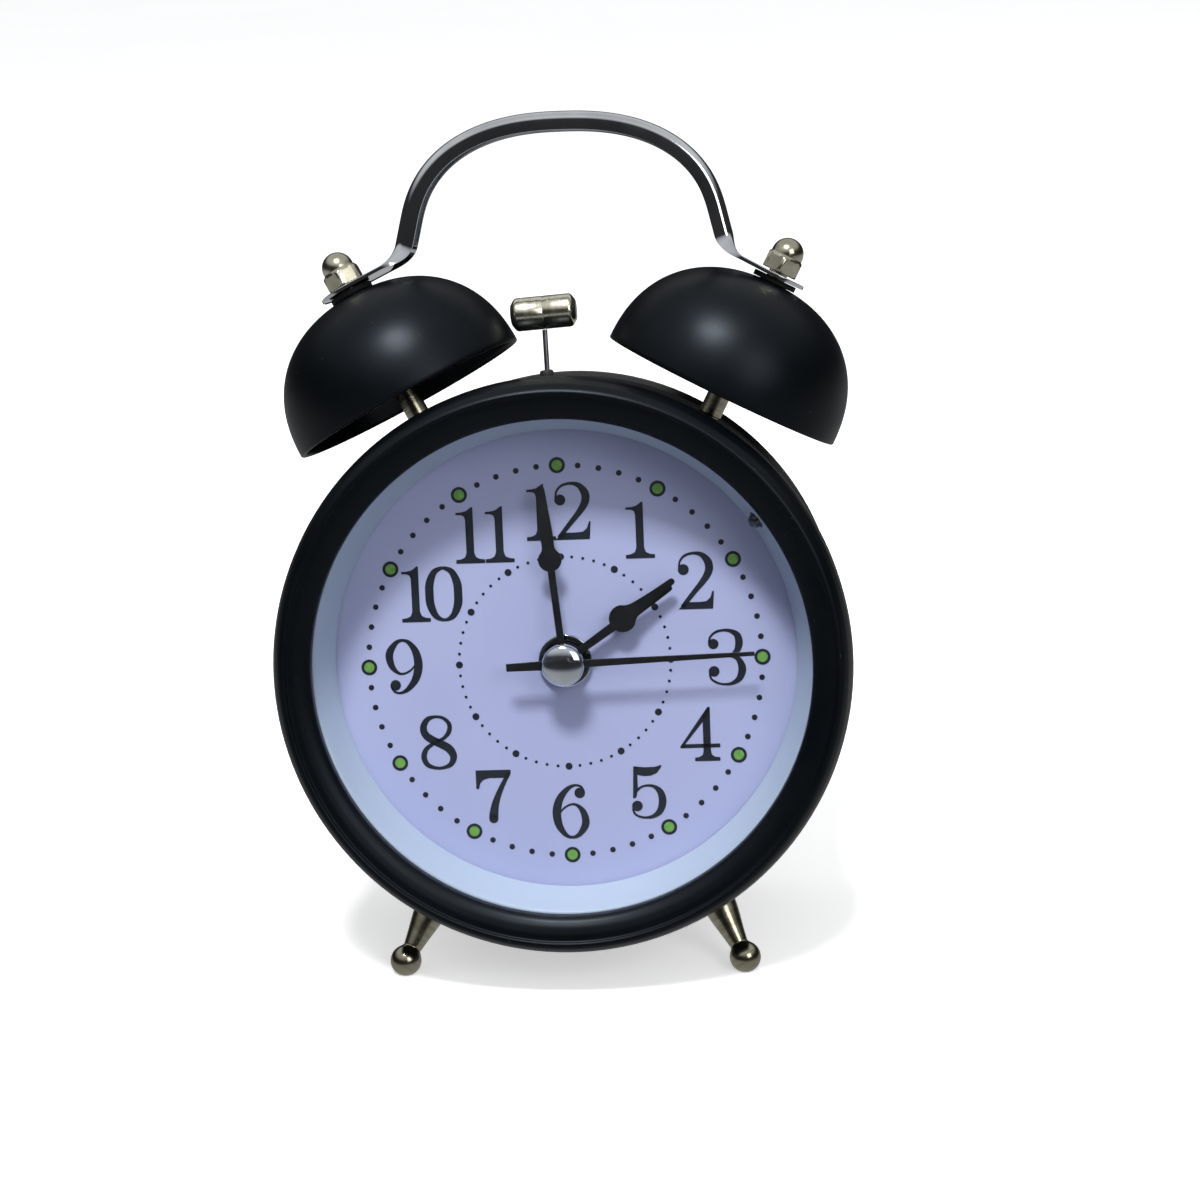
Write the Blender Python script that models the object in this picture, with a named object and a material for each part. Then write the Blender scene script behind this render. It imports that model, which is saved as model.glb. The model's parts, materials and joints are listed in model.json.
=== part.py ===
"""Twin-bell quartz alarm clock with a three-inch dial.

Lengths are in metres. The clock is drawn upright, in its own frame: the case axis is Y, the dial
looks along -Y, and y = 0 is the crest of the front bezel. A parent empty then leans it back, so
that it stands on its two front feet and on the lower rim of its back cover.
"""

import math

import bmesh
import bpy
from mathutils import Euler, Vector
from mathutils.geometry import tessellate_polygon

MM = 0.001
GAP = 0.3 * MM

# Case, counted back from the crest of the bezel
BEZEL_R = 44.0 * MM
BEZEL_BACK_Y = 9.0 * MM
BEZEL_LIP_R = 37.8 * MM
DRUM_R = 42.5 * MM
DRUM_WALL = 0.8 * MM
DRUM_FRONT_Y = 4.8 * MM
DRUM_BACK_Y = 44.7 * MM
COVER_R = 43.3 * MM
COVER_Y = 45.0 * MM
COVER_BACK_Y = 46.2 * MM
ROUND_STEPS = 44

# Dial and lens
LENS_R = 39.4 * MM
LENS_Y = 4.2 * MM
LENS_BACK_Y = 5.4 * MM
DIAL_R = 39.4 * MM
DIAL_Y = 12.8 * MM
DIAL_THICKNESS = 0.5 * MM
DIAL_HOLE_R = 3.4 * MM

# Bells, each on an axis that leans outward over its post
BELL_LEAN = math.radians(27.3)
LEFT_BELL_TIP = math.radians(2.6)
BELL_R = 19.3 * MM
BELL_HEIGHT = 18.4 * MM
BELL_WALL = 0.9 * MM
BELL_ROUNDNESS = 2.25
BELL_X = 24.45 * MM
BELL_SHIFT = 0.4 * MM
BELL_Y = 23.0 * MM
BELL_Z = 40.4 * MM
BELL_STEPS = 24
STUD_R = 1.5 * MM
POST_R = 1.8 * MM
POST_FOOT = -4.2 * MM
STUD_FOOT = -9.7 * MM
POST_NUT_TOP = -6.5 * MM

# Handle strip
HANDLE_A = 20.35 * MM
HANDLE_B = 14.46 * MM
HANDLE_Z = 68.0 * MM
HANDLE_ROUNDNESS = 2.45
HANDLE_SPREAD = math.radians(13.6)
HANDLE_SKEW = 0.68 * MM
HANDLE_WIDTH = 6.0 * MM
HANDLE_DEPTH = 2.9 * MM
HANDLE_WALL = 0.5 * MM
TAB_WIDTH = 9.0 * MM
TAB_THICKNESS = 0.6 * MM
WASHER_R = 3.5 * MM
WASHER_THICKNESS = 0.3 * MM

# Fasteners
NUT_FLATS = 5.5 * MM
NUT_HEIGHT = 5.6 * MM
NUT_BORE_R = 1.75 * MM
PLAIN_NUT_HEIGHT = 2.4 * MM

# Legs
LEG_LEAN = math.radians(27.5)
LEG_SPLAY = math.radians(24.0)
FOOT_X = 26.7 * MM
FOOT_Y = 12.0 * MM
FOOT_Z = -47.3 * MM
FOOT_BALL_R = 2.45 * MM
FOOT_FLAT = 2.0 * MM
LEG_TOP = -16.0 * MM
LEG_STUD_END = -19.4 * MM
LEG_NUT_LOW = -18.7 * MM

# Hammer
PIVOT_Z = 27.0 * MM
HAMMER_REACH = 26.4 * MM
HAMMER_REST = math.radians(5.2)
HAMMER_R = 2.6 * MM
HAMMER_HALF = 5.15 * MM
HEAD_X = -0.1 * MM
HEAD_TILT = math.radians(1.4)
WIRE_SLOPE = math.radians(3.6)
WIRE_FOOT_Z = 7.0 * MM
WIRE_BEND_Z = 15.5 * MM
ROD_R = 0.4 * MM

# Gear train. Each mesh turns the next arbor by the ratio of its teeth.
THIRD_D = 8.5 * MM
THIRD_ANGLE = math.radians(60)
MOTION_D = 7.5 * MM
MOTION_ANGLE = math.radians(200)
ALARM_D = 9.6 * MM
ALARM_ANGLE = math.radians(340)
INTER_D = 7.0 * MM
INTER_ANGLE = math.radians(120)
ROTOR_D = 6.0 * MM
ROTOR_ANGLE = math.radians(150)
SECONDS_TEETH = 36
SECONDS_PINION = 6
THIRD_TEETH = 45
THIRD_PINION = 6
CENTRE_TEETH = 48
CANNON_PINION = 8
MOTION_TEETH = 24
MOTION_PINION = 8
HOUR_TEETH = 32
SET_PINION = 8
ALARM_TEETH = 30
ALARM_PINION = 10
INTER_TEETH = 30
INTER_PINION = 6
ROTOR_PINION = 6
ARBOR_R = 0.45 * MM
STEM_R = 0.9 * MM

# Hands, as turned clockwise from twelve at rest
MINUTE_ANGLE = math.radians(-5.8)
HOUR_ANGLE = math.radians(54.0)
ALARM_HAND_ANGLE = math.radians(56.0)
SECOND_ANGLE = math.radians(87.8)

# Movement case and battery
MOVEMENT_HALF_X = 27.0 * MM
MOVEMENT_BOTTOM = -25.0 * MM
MOVEMENT_TOP = 19.0 * MM
MOVEMENT_Y = 13.7 * MM
MOVEMENT_BACK_Y = 27.2 * MM
MOVEMENT_WALL = 1.1 * MM
BATTERY_R = 7.2 * MM
BATTERY_HALF = 24.6 * MM
BATTERY_Y = 37.0 * MM
BATTERY_Z = -20.4 * MM
DOOR_HALF_X = 26.5 * MM
DOOR_HALF_Z = 8.0 * MM

# Controls on the back cover
KNOB_R = 6.0 * MM
KNOB_Y = 46.8 * MM
KNOB_HEIGHT = 4.6 * MM
SWITCH_X = 10.0 * MM
SWITCH_Z = 24.0 * MM
SWITCH_TRAVEL = 4.0 * MM
BUTTON_X = -14.0 * MM
BUTTON_Z = 24.0 * MM
BUTTON_R = 3.2 * MM

# Night light, in the wall of the reflector ring
LAMP_ANGLE = math.radians(54.3)
LAMP_R = 1.15 * MM
LAMP_TIP = 35.5 * MM
LAMP_FLANGE = 3.4 * MM
LAMP_Y = 9.3 * MM


# ---------------------------------------------------------------- mesh helpers

def circle(radius, steps, centre=(0.0, 0.0)):
    """An outline of (x, z) points round the centre."""
    turns = [2 * math.pi * k / steps for k in range(steps)]
    return [(centre[0] + radius * math.cos(a), centre[1] + radius * math.sin(a)) for a in turns]


def polar(distance, angle):
    """The (x, z) of a place around the case axis, its angle counted from +X towards +Z."""
    return (distance * math.cos(angle), distance * math.sin(angle))


def turned(profile, steps):
    """A closed (radius, height) profile turned round the local Z axis."""
    verts, faces, rings = [], [], []
    for radius, height in profile:
        if radius < 1e-9:
            rings.append([len(verts)] * steps)
            verts.append((0.0, 0.0, height))
            continue
        rings.append(list(range(len(verts), len(verts) + steps)))
        verts += [(x, y, height) for x, y in circle(radius, steps)]
    for this, following in zip(rings, rings[1:] + rings[:1]):
        for k in range(steps):
            corners = [this[k], this[k - 1], following[k - 1], following[k]]
            corners = list(dict.fromkeys(corners))
            if len(corners) > 2:
                faces.append(corners)
    return verts, faces


def along_case(shape):
    """Turns a shape made round Z to lie round the case axis, its height counted back along +Y."""
    verts, faces = shape
    return [(x, z, -y) for x, y, z in verts], faces


def stacked(sections, bore=None):
    """Flat (outline, front y, back y) slices, one behind the other, as one solid round the Y axis.

    Where two slices meet, one outline lies inside the other. A bore outline runs through them all.
    """
    verts, faces = [], []

    def ring(outline, y):
        start = len(verts)
        verts.extend((x, y, z) for x, z in outline)
        return list(range(start, len(verts)))

    def wall(front, back):
        for k in range(len(front)):
            faces.append([front[k - 1], front[k], back[k], back[k - 1]])

    def cap(outer, inner=None):
        loops = [[Vector(verts[i]).xzy for i in loop] for loop in (outer, inner) if loop]
        index = outer + (inner or [])
        faces.extend([index[i] for i in face] for face in tessellate_polygon(loops))

    rings = [(ring(outline, y0), ring(outline, y1)) for outline, y0, y1 in sections]
    for front, back in rings:
        wall(front, back)
    for (_, this), (following, _) in zip(rings, rings[1:]):
        cap(this, following)
    hole = (ring(bore, sections[0][1]), ring(bore, sections[-1][2])) if bore else (None, None)
    cap(rings[0][0], hole[0])
    cap(rings[-1][1], hole[1])
    if bore:
        wall(*hole)
    return verts, faces


def block(x0, x1, y0, y1, z0, z1):
    return stacked([([(x0, z0), (x1, z0), (x1, z1), (x0, z1)], y0, y1)])


def gear(teeth, module, phase):
    """Straight-flanked teeth, with one tooth's tip at the phase angle from +X towards +Z."""
    pitch_r = module * teeth / 2
    outline = []
    for k in range(teeth):
        tip = phase + 2 * math.pi * k / teeth
        outline.append(polar(pitch_r + 0.7 * module, tip))
        outline.append(polar(pitch_r - 0.9 * module, tip + math.pi / teeth))
    return outline


def gap_phase(teeth, angle):
    """The phase that puts a gap between two teeth at the angle."""
    return angle + math.pi / teeth


def mesh_module(distance, teeth, other_teeth):
    return 2 * distance / (teeth + other_teeth)


# ---------------------------------------------------------------- objects and materials

def material(name, colour, roughness, metallic):
    made = bpy.data.materials.new(name)
    made.use_nodes = True
    shader = made.node_tree.nodes["Principled BSDF"]
    shader.inputs["Base Color"].default_value = (*colour, 1.0)
    shader.inputs["Roughness"].default_value = roughness
    shader.inputs["Metallic"].default_value = metallic
    made.diffuse_color = (*colour, 1.0)
    return made


def empty(name, parent, location=(0.0, 0.0, 0.0), rotation=(0.0, 0.0, 0.0)):
    made = bpy.data.objects.new(name, None)
    bpy.context.scene.collection.objects.link(made)
    made.parent = parent
    made.location = location
    made.rotation_euler = rotation
    return made


def part(name, shape, finish, parent, location=(0.0, 0.0, 0.0), rotation=(0.0, 0.0, 0.0)):
    """A solid with its faces pointing out, shaded smooth except across sharp edges."""
    verts, faces = shape
    build = bmesh.new()
    points = [build.verts.new(v) for v in verts]
    for face in faces:
        build.faces.new([points[i] for i in face])
    bmesh.ops.recalc_face_normals(build, faces=build.faces)
    mesh = bpy.data.meshes.new(name)
    build.to_mesh(mesh)
    build.free()
    mesh.shade_smooth()
    mesh.set_sharp_from_angle(angle=math.radians(35))
    mesh.materials.append(finish)
    made = bpy.data.objects.new(name, mesh)
    bpy.context.scene.collection.objects.link(made)
    made.parent = parent
    made.location = location
    made.rotation_euler = rotation
    return made


def boolean(target, shape, operation, parent, location=(0.0, 0.0, 0.0), rotation=(0.0, 0.0, 0.0)):
    """Cuts a hidden shape from the target, or joins it on."""
    name = f"{target.name}_tool_{len(target.modifiers) + 1}"
    tool = part(name, shape, target.data.materials[0], parent, location, rotation)
    tool.hide_render = True
    tool.display_type = "WIRE"
    modifier = target.modifiers.new(tool.name, "BOOLEAN")
    modifier.operation = operation
    modifier.solver = "EXACT"
    modifier.object = tool


def cut(target, shape, parent, location=(0.0, 0.0, 0.0), rotation=(0.0, 0.0, 0.0)):
    boolean(target, shape, "DIFFERENCE", parent, location, rotation)


def rod(radius, low, high, steps=16):
    return turned([(0.0, high), (radius, high), (radius, low), (0.0, low)], steps)


def tube(outer, inner, low, high, steps=16):
    return turned([(outer, high), (outer, low), (inner, low), (inner, high)], steps)


# ---------------------------------------------------------------- case

def bell_foot(side):
    """The centre of a bell's rim. The pair sits a little to the right of the dial's centre."""
    return (side * BELL_X + BELL_SHIFT, BELL_Y, BELL_Z)


def bell_axis_angle(side):
    """The turn that leans the local Z axis out to that side. The left bell also tips back a little."""
    return (-LEFT_BELL_TIP if side < 0 else 0.0, side * BELL_LEAN, 0.0)


def leg_axis(side):
    """The direction a leg points in, from the case to the floor."""
    down = Vector((side * math.sin(LEG_LEAN), 0.0, -math.cos(LEG_LEAN)))
    down.y = -math.tan(LEG_SPLAY)
    return down.normalized()


def leg_turn(side):
    return leg_axis(side).to_track_quat("Z", "Y").to_euler()


def make_bezel(clock, black):
    profile = [
        (42.9 * MM, BEZEL_BACK_Y), (43.8 * MM, BEZEL_BACK_Y), (BEZEL_R, 8.7 * MM), (BEZEL_R, 5.2 * MM),
        (43.7 * MM, 3.0 * MM), (43.1 * MM, 1.3 * MM), (42.4 * MM, 0.3 * MM), (41.9 * MM, 0.0),
        (41.5 * MM, 0.1 * MM), (41.3 * MM, 0.5 * MM), (40.3 * MM, 0.55 * MM), (39.2 * MM, 0.95 * MM),
        (38.3 * MM, 1.5 * MM), (BEZEL_LIP_R, 2.1 * MM), (BEZEL_LIP_R, LENS_Y - GAP),
        (40.4 * MM, LENS_Y - GAP), (42.0 * MM, 3.0 * MM), (42.9 * MM, 4.5 * MM),
    ]
    part("front_bezel", along_case(turned(profile, ROUND_STEPS)), black, clock)


def make_drum(clock, black):
    inner = DRUM_R - DRUM_WALL
    shape = along_case(tube(DRUM_R, inner, DRUM_FRONT_Y, DRUM_BACK_Y, ROUND_STEPS))
    drum = part("case_drum", shape, black, clock)
    hole = rod(STUD_R + GAP, STUD_FOOT, POST_FOOT + 2 * MM, 12)
    for side in (-1, 1):
        cut(drum, hole, clock, bell_foot(side), bell_axis_angle(side))
        foot = (side * FOOT_X, FOOT_Y, FOOT_Z)
        cut(drum, rod(STUD_R + GAP, -22 * MM, -10 * MM, 12), clock, foot, leg_turn(side))
    slot = [(-3.6, -1.3), (3.6, -1.3), (3.6, 1.3), (-3.6, 1.3)]
    slot = [(x * MM, BELL_Y + y * MM) for x, y in slot]
    verts = [(x, y, z) for z in (39 * MM, 45 * MM) for x, y in slot]
    sides = [[k, (k + 1) % 4, (k + 1) % 4 + 4, k + 4] for k in range(4)]
    cut(drum, (verts, [[0, 1, 2, 3], [4, 5, 6, 7]] + sides), clock)


def make_lens(clock, glass):
    profile = [
        (0.0, LENS_BACK_Y), (LENS_R - 0.3 * MM, LENS_BACK_Y), (LENS_R, LENS_BACK_Y - 0.3 * MM),
        (LENS_R, LENS_Y), (0.0, LENS_Y),
    ]
    part("glass_lens", along_case(turned(profile, ROUND_STEPS)), glass, clock)


def make_reflector_ring(clock, white):
    front = LENS_BACK_Y + GAP
    back = DIAL_Y - GAP
    profile = [
        (38.0 * MM, front), (35.6 * MM, back), (36.8 * MM, back), (38.7 * MM, front + 1.2 * MM),
        (LENS_R, front + 1.2 * MM), (LENS_R, front),
    ]
    ring = part("reflector_ring", along_case(turned(profile, ROUND_STEPS)), white, clock)
    angle = math.pi / 2 - LAMP_ANGLE
    x, z = polar(LAMP_TIP, angle)
    lamp_turn = (0.0, math.pi / 2 - angle, 0.0)
    cut(ring, rod(LAMP_R + GAP, -1 * MM, 8 * MM, 16), clock, (x, LAMP_Y, z), lamp_turn)


def make_lamp(clock, dark_glass):
    """A small round-nosed night light, which looks in through the wall of the ring."""
    nose = [(LAMP_R * math.sin(a), LAMP_R * (1 - math.cos(a))) for a in quarter(4)]
    flange_r, top = LAMP_R + 0.35 * MM, LAMP_FLANGE + 0.7 * MM
    profile = nose + [(LAMP_R, LAMP_FLANGE - 0.3 * MM), (flange_r, LAMP_FLANGE), (flange_r, top), (0.0, top)]
    angle = math.pi / 2 - LAMP_ANGLE
    x, z = polar(LAMP_TIP, angle)
    lamp_turn = (0.0, math.pi / 2 - angle, 0.0)
    part("dial_lamp", turned(profile, 12), dark_glass, clock, (x, LAMP_Y, z), lamp_turn)


def quarter(steps):
    """Angles from 0 to a right angle."""
    return [math.pi / 2 * k / steps for k in range(steps + 1)]


def make_dial(clock, lavender):
    profile = [
        (DIAL_HOLE_R, DIAL_Y), (DIAL_HOLE_R, DIAL_Y + DIAL_THICKNESS), (DIAL_R, DIAL_Y + DIAL_THICKNESS),
        (DIAL_R, DIAL_Y),
    ]
    part("dial_plate", along_case(turned(profile, ROUND_STEPS)), lavender, clock)


def make_back_cover(clock, black):
    """A shallow cap that plugs the back of the drum, pierced for the stems, the keys and the battery."""
    inner = DRUM_R - DRUM_WALL - GAP
    profile = [
        (0.0, COVER_BACK_Y), (41.8 * MM, COVER_BACK_Y), (42.9 * MM, 45.95 * MM), (COVER_R, 45.5 * MM),
        (COVER_R, COVER_Y), (inner, COVER_Y), (inner, 41.0 * MM), (inner - 1.0 * MM, 41.0 * MM),
        (inner - 1.0 * MM, 44.6 * MM), (inner - 1.5 * MM, COVER_Y), (0.0, COVER_Y),
    ]
    cover = part("back_cover", along_case(turned(profile, ROUND_STEPS)), black, clock)
    low, high = COVER_Y - 1 * MM, COVER_BACK_Y + 1 * MM
    for x, z in (time_stem_place(), alarm_stem_place()):
        cut(cover, stacked([(circle(STEM_R + GAP, 16, (x, z)), low, high)]), clock)
    cut(cover, stacked([(circle(BUTTON_R + 0.25 * MM, 20, (BUTTON_X, BUTTON_Z)), low, high)]), clock)
    half = SWITCH_TRAVEL / 2 + 1.6 * MM
    slot = block(SWITCH_X - half, SWITCH_X + half, low, high, SWITCH_Z - 1.3 * MM, SWITCH_Z + 1.3 * MM)
    cut(cover, slot, clock)
    door = block(
        -DOOR_HALF_X - GAP, DOOR_HALF_X + GAP, low, high,
        BATTERY_Z - DOOR_HALF_Z - GAP, BATTERY_Z + DOOR_HALF_Z + GAP,
    )
    cut(cover, door, clock)


# ---------------------------------------------------------------- bells, handle, fasteners, legs

def bell_curve(radius, height, steps):
    """Points of a slightly flat-topped dome, from the top down to the rim."""
    power = 2 / BELL_ROUNDNESS
    turns = [math.pi / 2 * (1 - k / steps) for k in range(steps + 1)]
    return [
        (radius * max(math.cos(a), 0.0) ** power, height * max(math.sin(a), 0.0) ** power) for a in turns
    ]


def make_bell(name, frame, black):
    outer = bell_curve(BELL_R, BELL_HEIGHT, 7)[1:]
    inner = bell_curve(BELL_R - BELL_WALL, BELL_HEIGHT - BELL_WALL, 7)[1:]
    hole = POST_R
    profile = [(hole, BELL_HEIGHT)] + outer + inner[::-1] + [(hole, BELL_HEIGHT - BELL_WALL)]
    part(name, turned(profile, BELL_STEPS), black, frame)


def hexagon_radius(angle, flats):
    sixth = math.pi / 3
    return flats / 2 / math.cos((angle + sixth / 2) % sixth - sixth / 2)


def nut_rings(levels, flats, steps):
    """Rings of a hexagon whose corners are turned down to a largest radius at each height."""
    verts, faces = [], []
    for height, largest in levels:
        for k in range(steps):
            angle = 2 * math.pi * k / steps
            radius = min(hexagon_radius(angle, flats), largest)
            verts.append((radius * math.cos(angle), radius * math.sin(angle), height))
    for level in range(len(levels)):
        start, after = level * steps, (level + 1) % len(levels) * steps
        for k in range(steps):
            following = (k + 1) % steps
            faces.append([start + k, start + following, after + following, after + k])
    return verts, faces


def make_acorn_nut(name, frame, low, nickel):
    """A domed nut with a blind thread hole."""
    corner = NUT_FLATS / 2 / math.cos(math.pi / 6)
    collar = 2.45 * MM
    dome_base = NUT_HEIGHT - collar
    levels = [(low, corner - 0.35 * MM), (low + 0.35 * MM, corner), (low + 2.3 * MM, corner)]
    levels += [(low + 2.75 * MM, corner - 0.5 * MM), (low + 2.8 * MM, collar)]
    levels += [(low + dome_base + collar * math.sin(a), collar * math.cos(a)) for a in quarter(4)[:-1]]
    levels += [(low + NUT_HEIGHT, 0.35 * MM)]
    steps = 18
    verts, faces = nut_rings(levels, NUT_FLATS, steps)
    last = (len(levels) - 1) * steps
    faces = faces[:last]
    faces.append(list(range(last, last + steps)))
    bore = len(verts)
    depth = low + 4.0 * MM
    verts += [(x, y, z) for z in (low, depth) for x, y in circle(NUT_BORE_R, steps)]
    for k in range(steps):
        following = (k + 1) % steps
        faces.append([k, following, bore + following, bore + k])
        faces.append([bore + k, bore + following, bore + steps + following, bore + steps + k])
    faces.append(list(range(bore + steps, bore + 2 * steps)))
    part(name, (verts, faces), nickel, frame)


def make_plain_nut(name, frame, low, steel, location=(0.0, 0.0, 0.0), rotation=(0.0, 0.0, 0.0)):
    corner = NUT_FLATS / 2 / math.cos(math.pi / 6)
    high = low + PLAIN_NUT_HEIGHT
    levels = [(low, corner), (high, corner), (high, NUT_BORE_R), (low, NUT_BORE_R)]
    part(name, nut_rings(levels, NUT_FLATS, 12), steel, frame, location, rotation)


def make_bell_set(clock, side, black, rubber, nickel, steel):
    """One bell on its post, and what clamps the end of the handle on top of it."""
    word = "left" if side < 0 else "right"
    frame = empty(f"bell_axis_{word}", clock, bell_foot(side), bell_axis_angle(side))
    make_bell(f"bell_{word}", frame, black)
    shoulder = BELL_HEIGHT - BELL_WALL - GAP
    stud_top = BELL_HEIGHT + 5.2 * MM
    profile = [
        (0.0, stud_top), (STUD_R - 0.3 * MM, stud_top), (STUD_R, stud_top - 0.3 * MM), (STUD_R, shoulder),
        (POST_R, shoulder), (POST_R, POST_FOOT), (STUD_R, POST_FOOT), (STUD_R, STUD_FOOT), (0.0, STUD_FOOT),
    ]
    part(f"bell_post_{word}", turned(profile, 16), nickel, frame)
    make_plain_nut(f"bell_post_nut_{word}", frame, POST_NUT_TOP - PLAIN_NUT_HEIGHT, steel)
    low = BELL_HEIGHT + GAP
    top = low + WASHER_THICKNESS
    part(f"bell_washer_{word}", tube(WASHER_R, 1.8 * MM, low, top, 20), rubber, frame)
    make_acorn_nut(f"acorn_nut_{word}", frame, top + TAB_THICKNESS + 2 * GAP, nickel)


def handle_half():
    """(x, z, flatness, half width) along the right half's centre line, from the crown to its flat end plate."""
    crown = HANDLE_Z + HANDLE_B
    spread = math.tan(HANDLE_SPREAD)
    power = 2 / HANDLE_ROUNDNESS
    points = []
    for k in range(13):
        angle = math.pi / 2 * (1 - k / 12)
        z = HANDLE_Z + HANDLE_B * math.sin(angle) ** power
        points.append((HANDLE_A * max(math.cos(angle), 0.0) ** power + spread * (crown - z), z))
    plate_s = BELL_HEIGHT + 2 * GAP + WASHER_THICKNESS + TAB_THICKNESS / 2
    nut_x = BELL_X + plate_s * math.sin(BELL_LEAN)
    nut_z = BELL_Z + plate_s * math.cos(BELL_LEAN)
    slope = math.tan(BELL_LEAN)
    corner_x = (HANDLE_A + spread * (crown - nut_z - nut_x * slope)) / (1 - spread * slope)
    corner = Vector((corner_x, nut_z + (nut_x - corner_x) * slope))
    start = corner + Vector((-math.sin(HANDLE_SPREAD), math.cos(HANDLE_SPREAD))) * 2.6 * MM
    end = corner + Vector((math.cos(BELL_LEAN), -math.sin(BELL_LEAN))) * 3.0 * MM
    rows = [(x, z, 0.0) for x, z in points]
    for k in range(6):
        t = k / 5
        bend = start * (1 - t) ** 2 + corner * 2 * t * (1 - t) + end * t ** 2
        rows.append((bend.x, bend.y, t))
    for s in (-0.58, 0.51, 0.69, 0.84, 0.94):
        reach = s * TAB_WIDTH / 2
        rows.append((nut_x + reach * math.cos(BELL_LEAN), nut_z - reach * math.sin(BELL_LEAN), 1.0))
    return [(x, z, flat, strip_width(x, nut_x, flat)) for x, z, flat in rows]


def strip_width(x, nut_x, flat):
    """Half the strip's width. It widens into the plate, whose end is round about the nut."""
    beyond = max((x - nut_x) / math.cos(BELL_LEAN), 0.0)
    half = HANDLE_WIDTH / 2 + (TAB_WIDTH - HANDLE_WIDTH) / 2 * flat
    return max(math.sqrt(max(half ** 2 - beyond ** 2, 0.0)), 1.2 * MM)


def skew(z):
    """How far the arch leans to the right at a height. Its end plates stay centred."""
    rise = min(max((z - 58 * MM) / (6 * MM), 0.0), 1.0)
    return HANDLE_SKEW * rise ** 2 * (3 - 2 * rise)


def make_handle(clock, chrome):
    """A pressed strip, channel-shaped round its arch and flat where the nuts clamp it."""
    right = handle_half()
    rows = [(-x, z, flat, width, -1) for x, z, flat, width in right[:0:-1]]
    rows += [(x, z, flat, width, 1) for x, z, flat, width in right]
    rows = [(x + BELL_SHIFT + skew(z), z, flat, width, side) for x, z, flat, width, side in rows]
    verts, faces = [], []
    wall = HANDLE_WALL
    for k, (x, z, flat, width, side) in enumerate(rows):
        before = Vector(rows[max(k - 1, 0)][:2])
        after = Vector(rows[min(k + 1, len(rows) - 1)][:2])
        tangent = (after - before).normalized()
        normal = Vector((-tangent.y, tangent.x))
        depth = HANDLE_DEPTH + (TAB_THICKNESS - HANDLE_DEPTH) * flat
        tip = math.tan(LEFT_BELL_TIP) * flat if side < 0 else 0.0
        top, low = depth / 2, -depth / 2
        floor = top - wall
        drop = depth * 0.4
        soft = 0.3 * MM + 1.2 * MM * (1 - flat)
        section = [
            (-width, low), (-width, top - drop), (-width + soft, top), (width - soft, top),
            (width, top - drop), (width, low), (width - wall, low), (width - wall - 0.15 * MM, floor),
            (-width + wall + 0.15 * MM, floor), (-width + wall, low),
        ]
        for across, out in section:
            out -= across * tip
            verts.append((x + normal.x * out, BELL_Y + across, z + normal.y * out))
    size = 10
    for k in range(len(rows) - 1):
        for j in range(size):
            following = (j + 1) % size
            faces.append([k * size + j, k * size + following, (k + 1) * size + following, (k + 1) * size + j])
    faces.append(list(range(size)))
    faces.append(list(range((len(rows) - 1) * size, len(rows) * size)))
    handle = part("carry_handle", (verts, faces), chrome, clock)
    for side in (-1, 1):
        hole = rod(STUD_R + GAP, BELL_HEIGHT - 0.5 * MM, BELL_HEIGHT + 3.5 * MM, 14)
        cut(handle, hole, clock, bell_foot(side), bell_axis_angle(side))
    plain = bmesh.new()
    plain.from_mesh(handle.data)
    bmesh.ops.dissolve_limit(plain, angle_limit=math.radians(0.25), verts=plain.verts[:], edges=plain.edges[:])
    plain.to_mesh(handle.data)
    plain.free()


def make_leg(clock, side, lean, nickel, steel):
    """A turned leg with a ball foot, its ball ground flat where it meets the floor."""
    word = "left" if side < 0 else "right"
    turn = leg_turn(side)
    foot = (side * FOOT_X, FOOT_Y, FOOT_Z)
    ball = [
        (FOOT_BALL_R * math.sin(a), FOOT_BALL_R * math.cos(a)) for a in (math.pi * k / 8 for k in range(7))
    ]
    profile = ball + [
        (1.5 * MM, -2.3 * MM), (1.85 * MM, -4.5 * MM), (2.35 * MM, -7.0 * MM), (2.75 * MM, -9.8 * MM),
        (2.8 * MM, LEG_TOP), (0.0, LEG_TOP),
    ]
    leg = part(f"leg_{word}", turned(profile, 14), nickel, clock, foot, turn)
    cut(leg, along_case(rod(DRUM_R + GAP, 0.0, DRUM_BACK_Y, ROUND_STEPS)), clock)
    boolean(leg, rod(STUD_R, LEG_STUD_END, LEG_TOP / 2, 12), "UNION", clock, foot, turn)
    floor_normal = (Euler((-lean, 0.0, 0.0)).to_matrix() @ turn.to_matrix()).transposed() @ Vector((0, 0, -1))
    build = bmesh.new()
    build.from_mesh(leg.data)
    geometry = build.verts[:] + build.edges[:] + build.faces[:]
    cutting = bmesh.ops.bisect_plane(
        build, geom=geometry, dist=1e-7, plane_co=floor_normal * FOOT_FLAT, plane_no=floor_normal,
        clear_outer=True,
    )
    rim = [item for item in cutting["geom_cut"] if isinstance(item, bmesh.types.BMEdge)]
    bmesh.ops.contextual_create(build, geom=rim)
    bmesh.ops.recalc_face_normals(build, faces=build.faces)
    build.to_mesh(leg.data)
    build.free()
    make_plain_nut(f"leg_nut_{word}", clock, LEG_NUT_LOW, steel, foot, turn)


# ---------------------------------------------------------------- hammer and striker

def hammer_frame(clock):
    """The hammer's axis, turned so that the hammer rests against the left bell."""
    return empty("hammer_axis", clock, (0.0, BELL_Y, PIVOT_Z), (0.0, -HAMMER_REST, 0.0))


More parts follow.
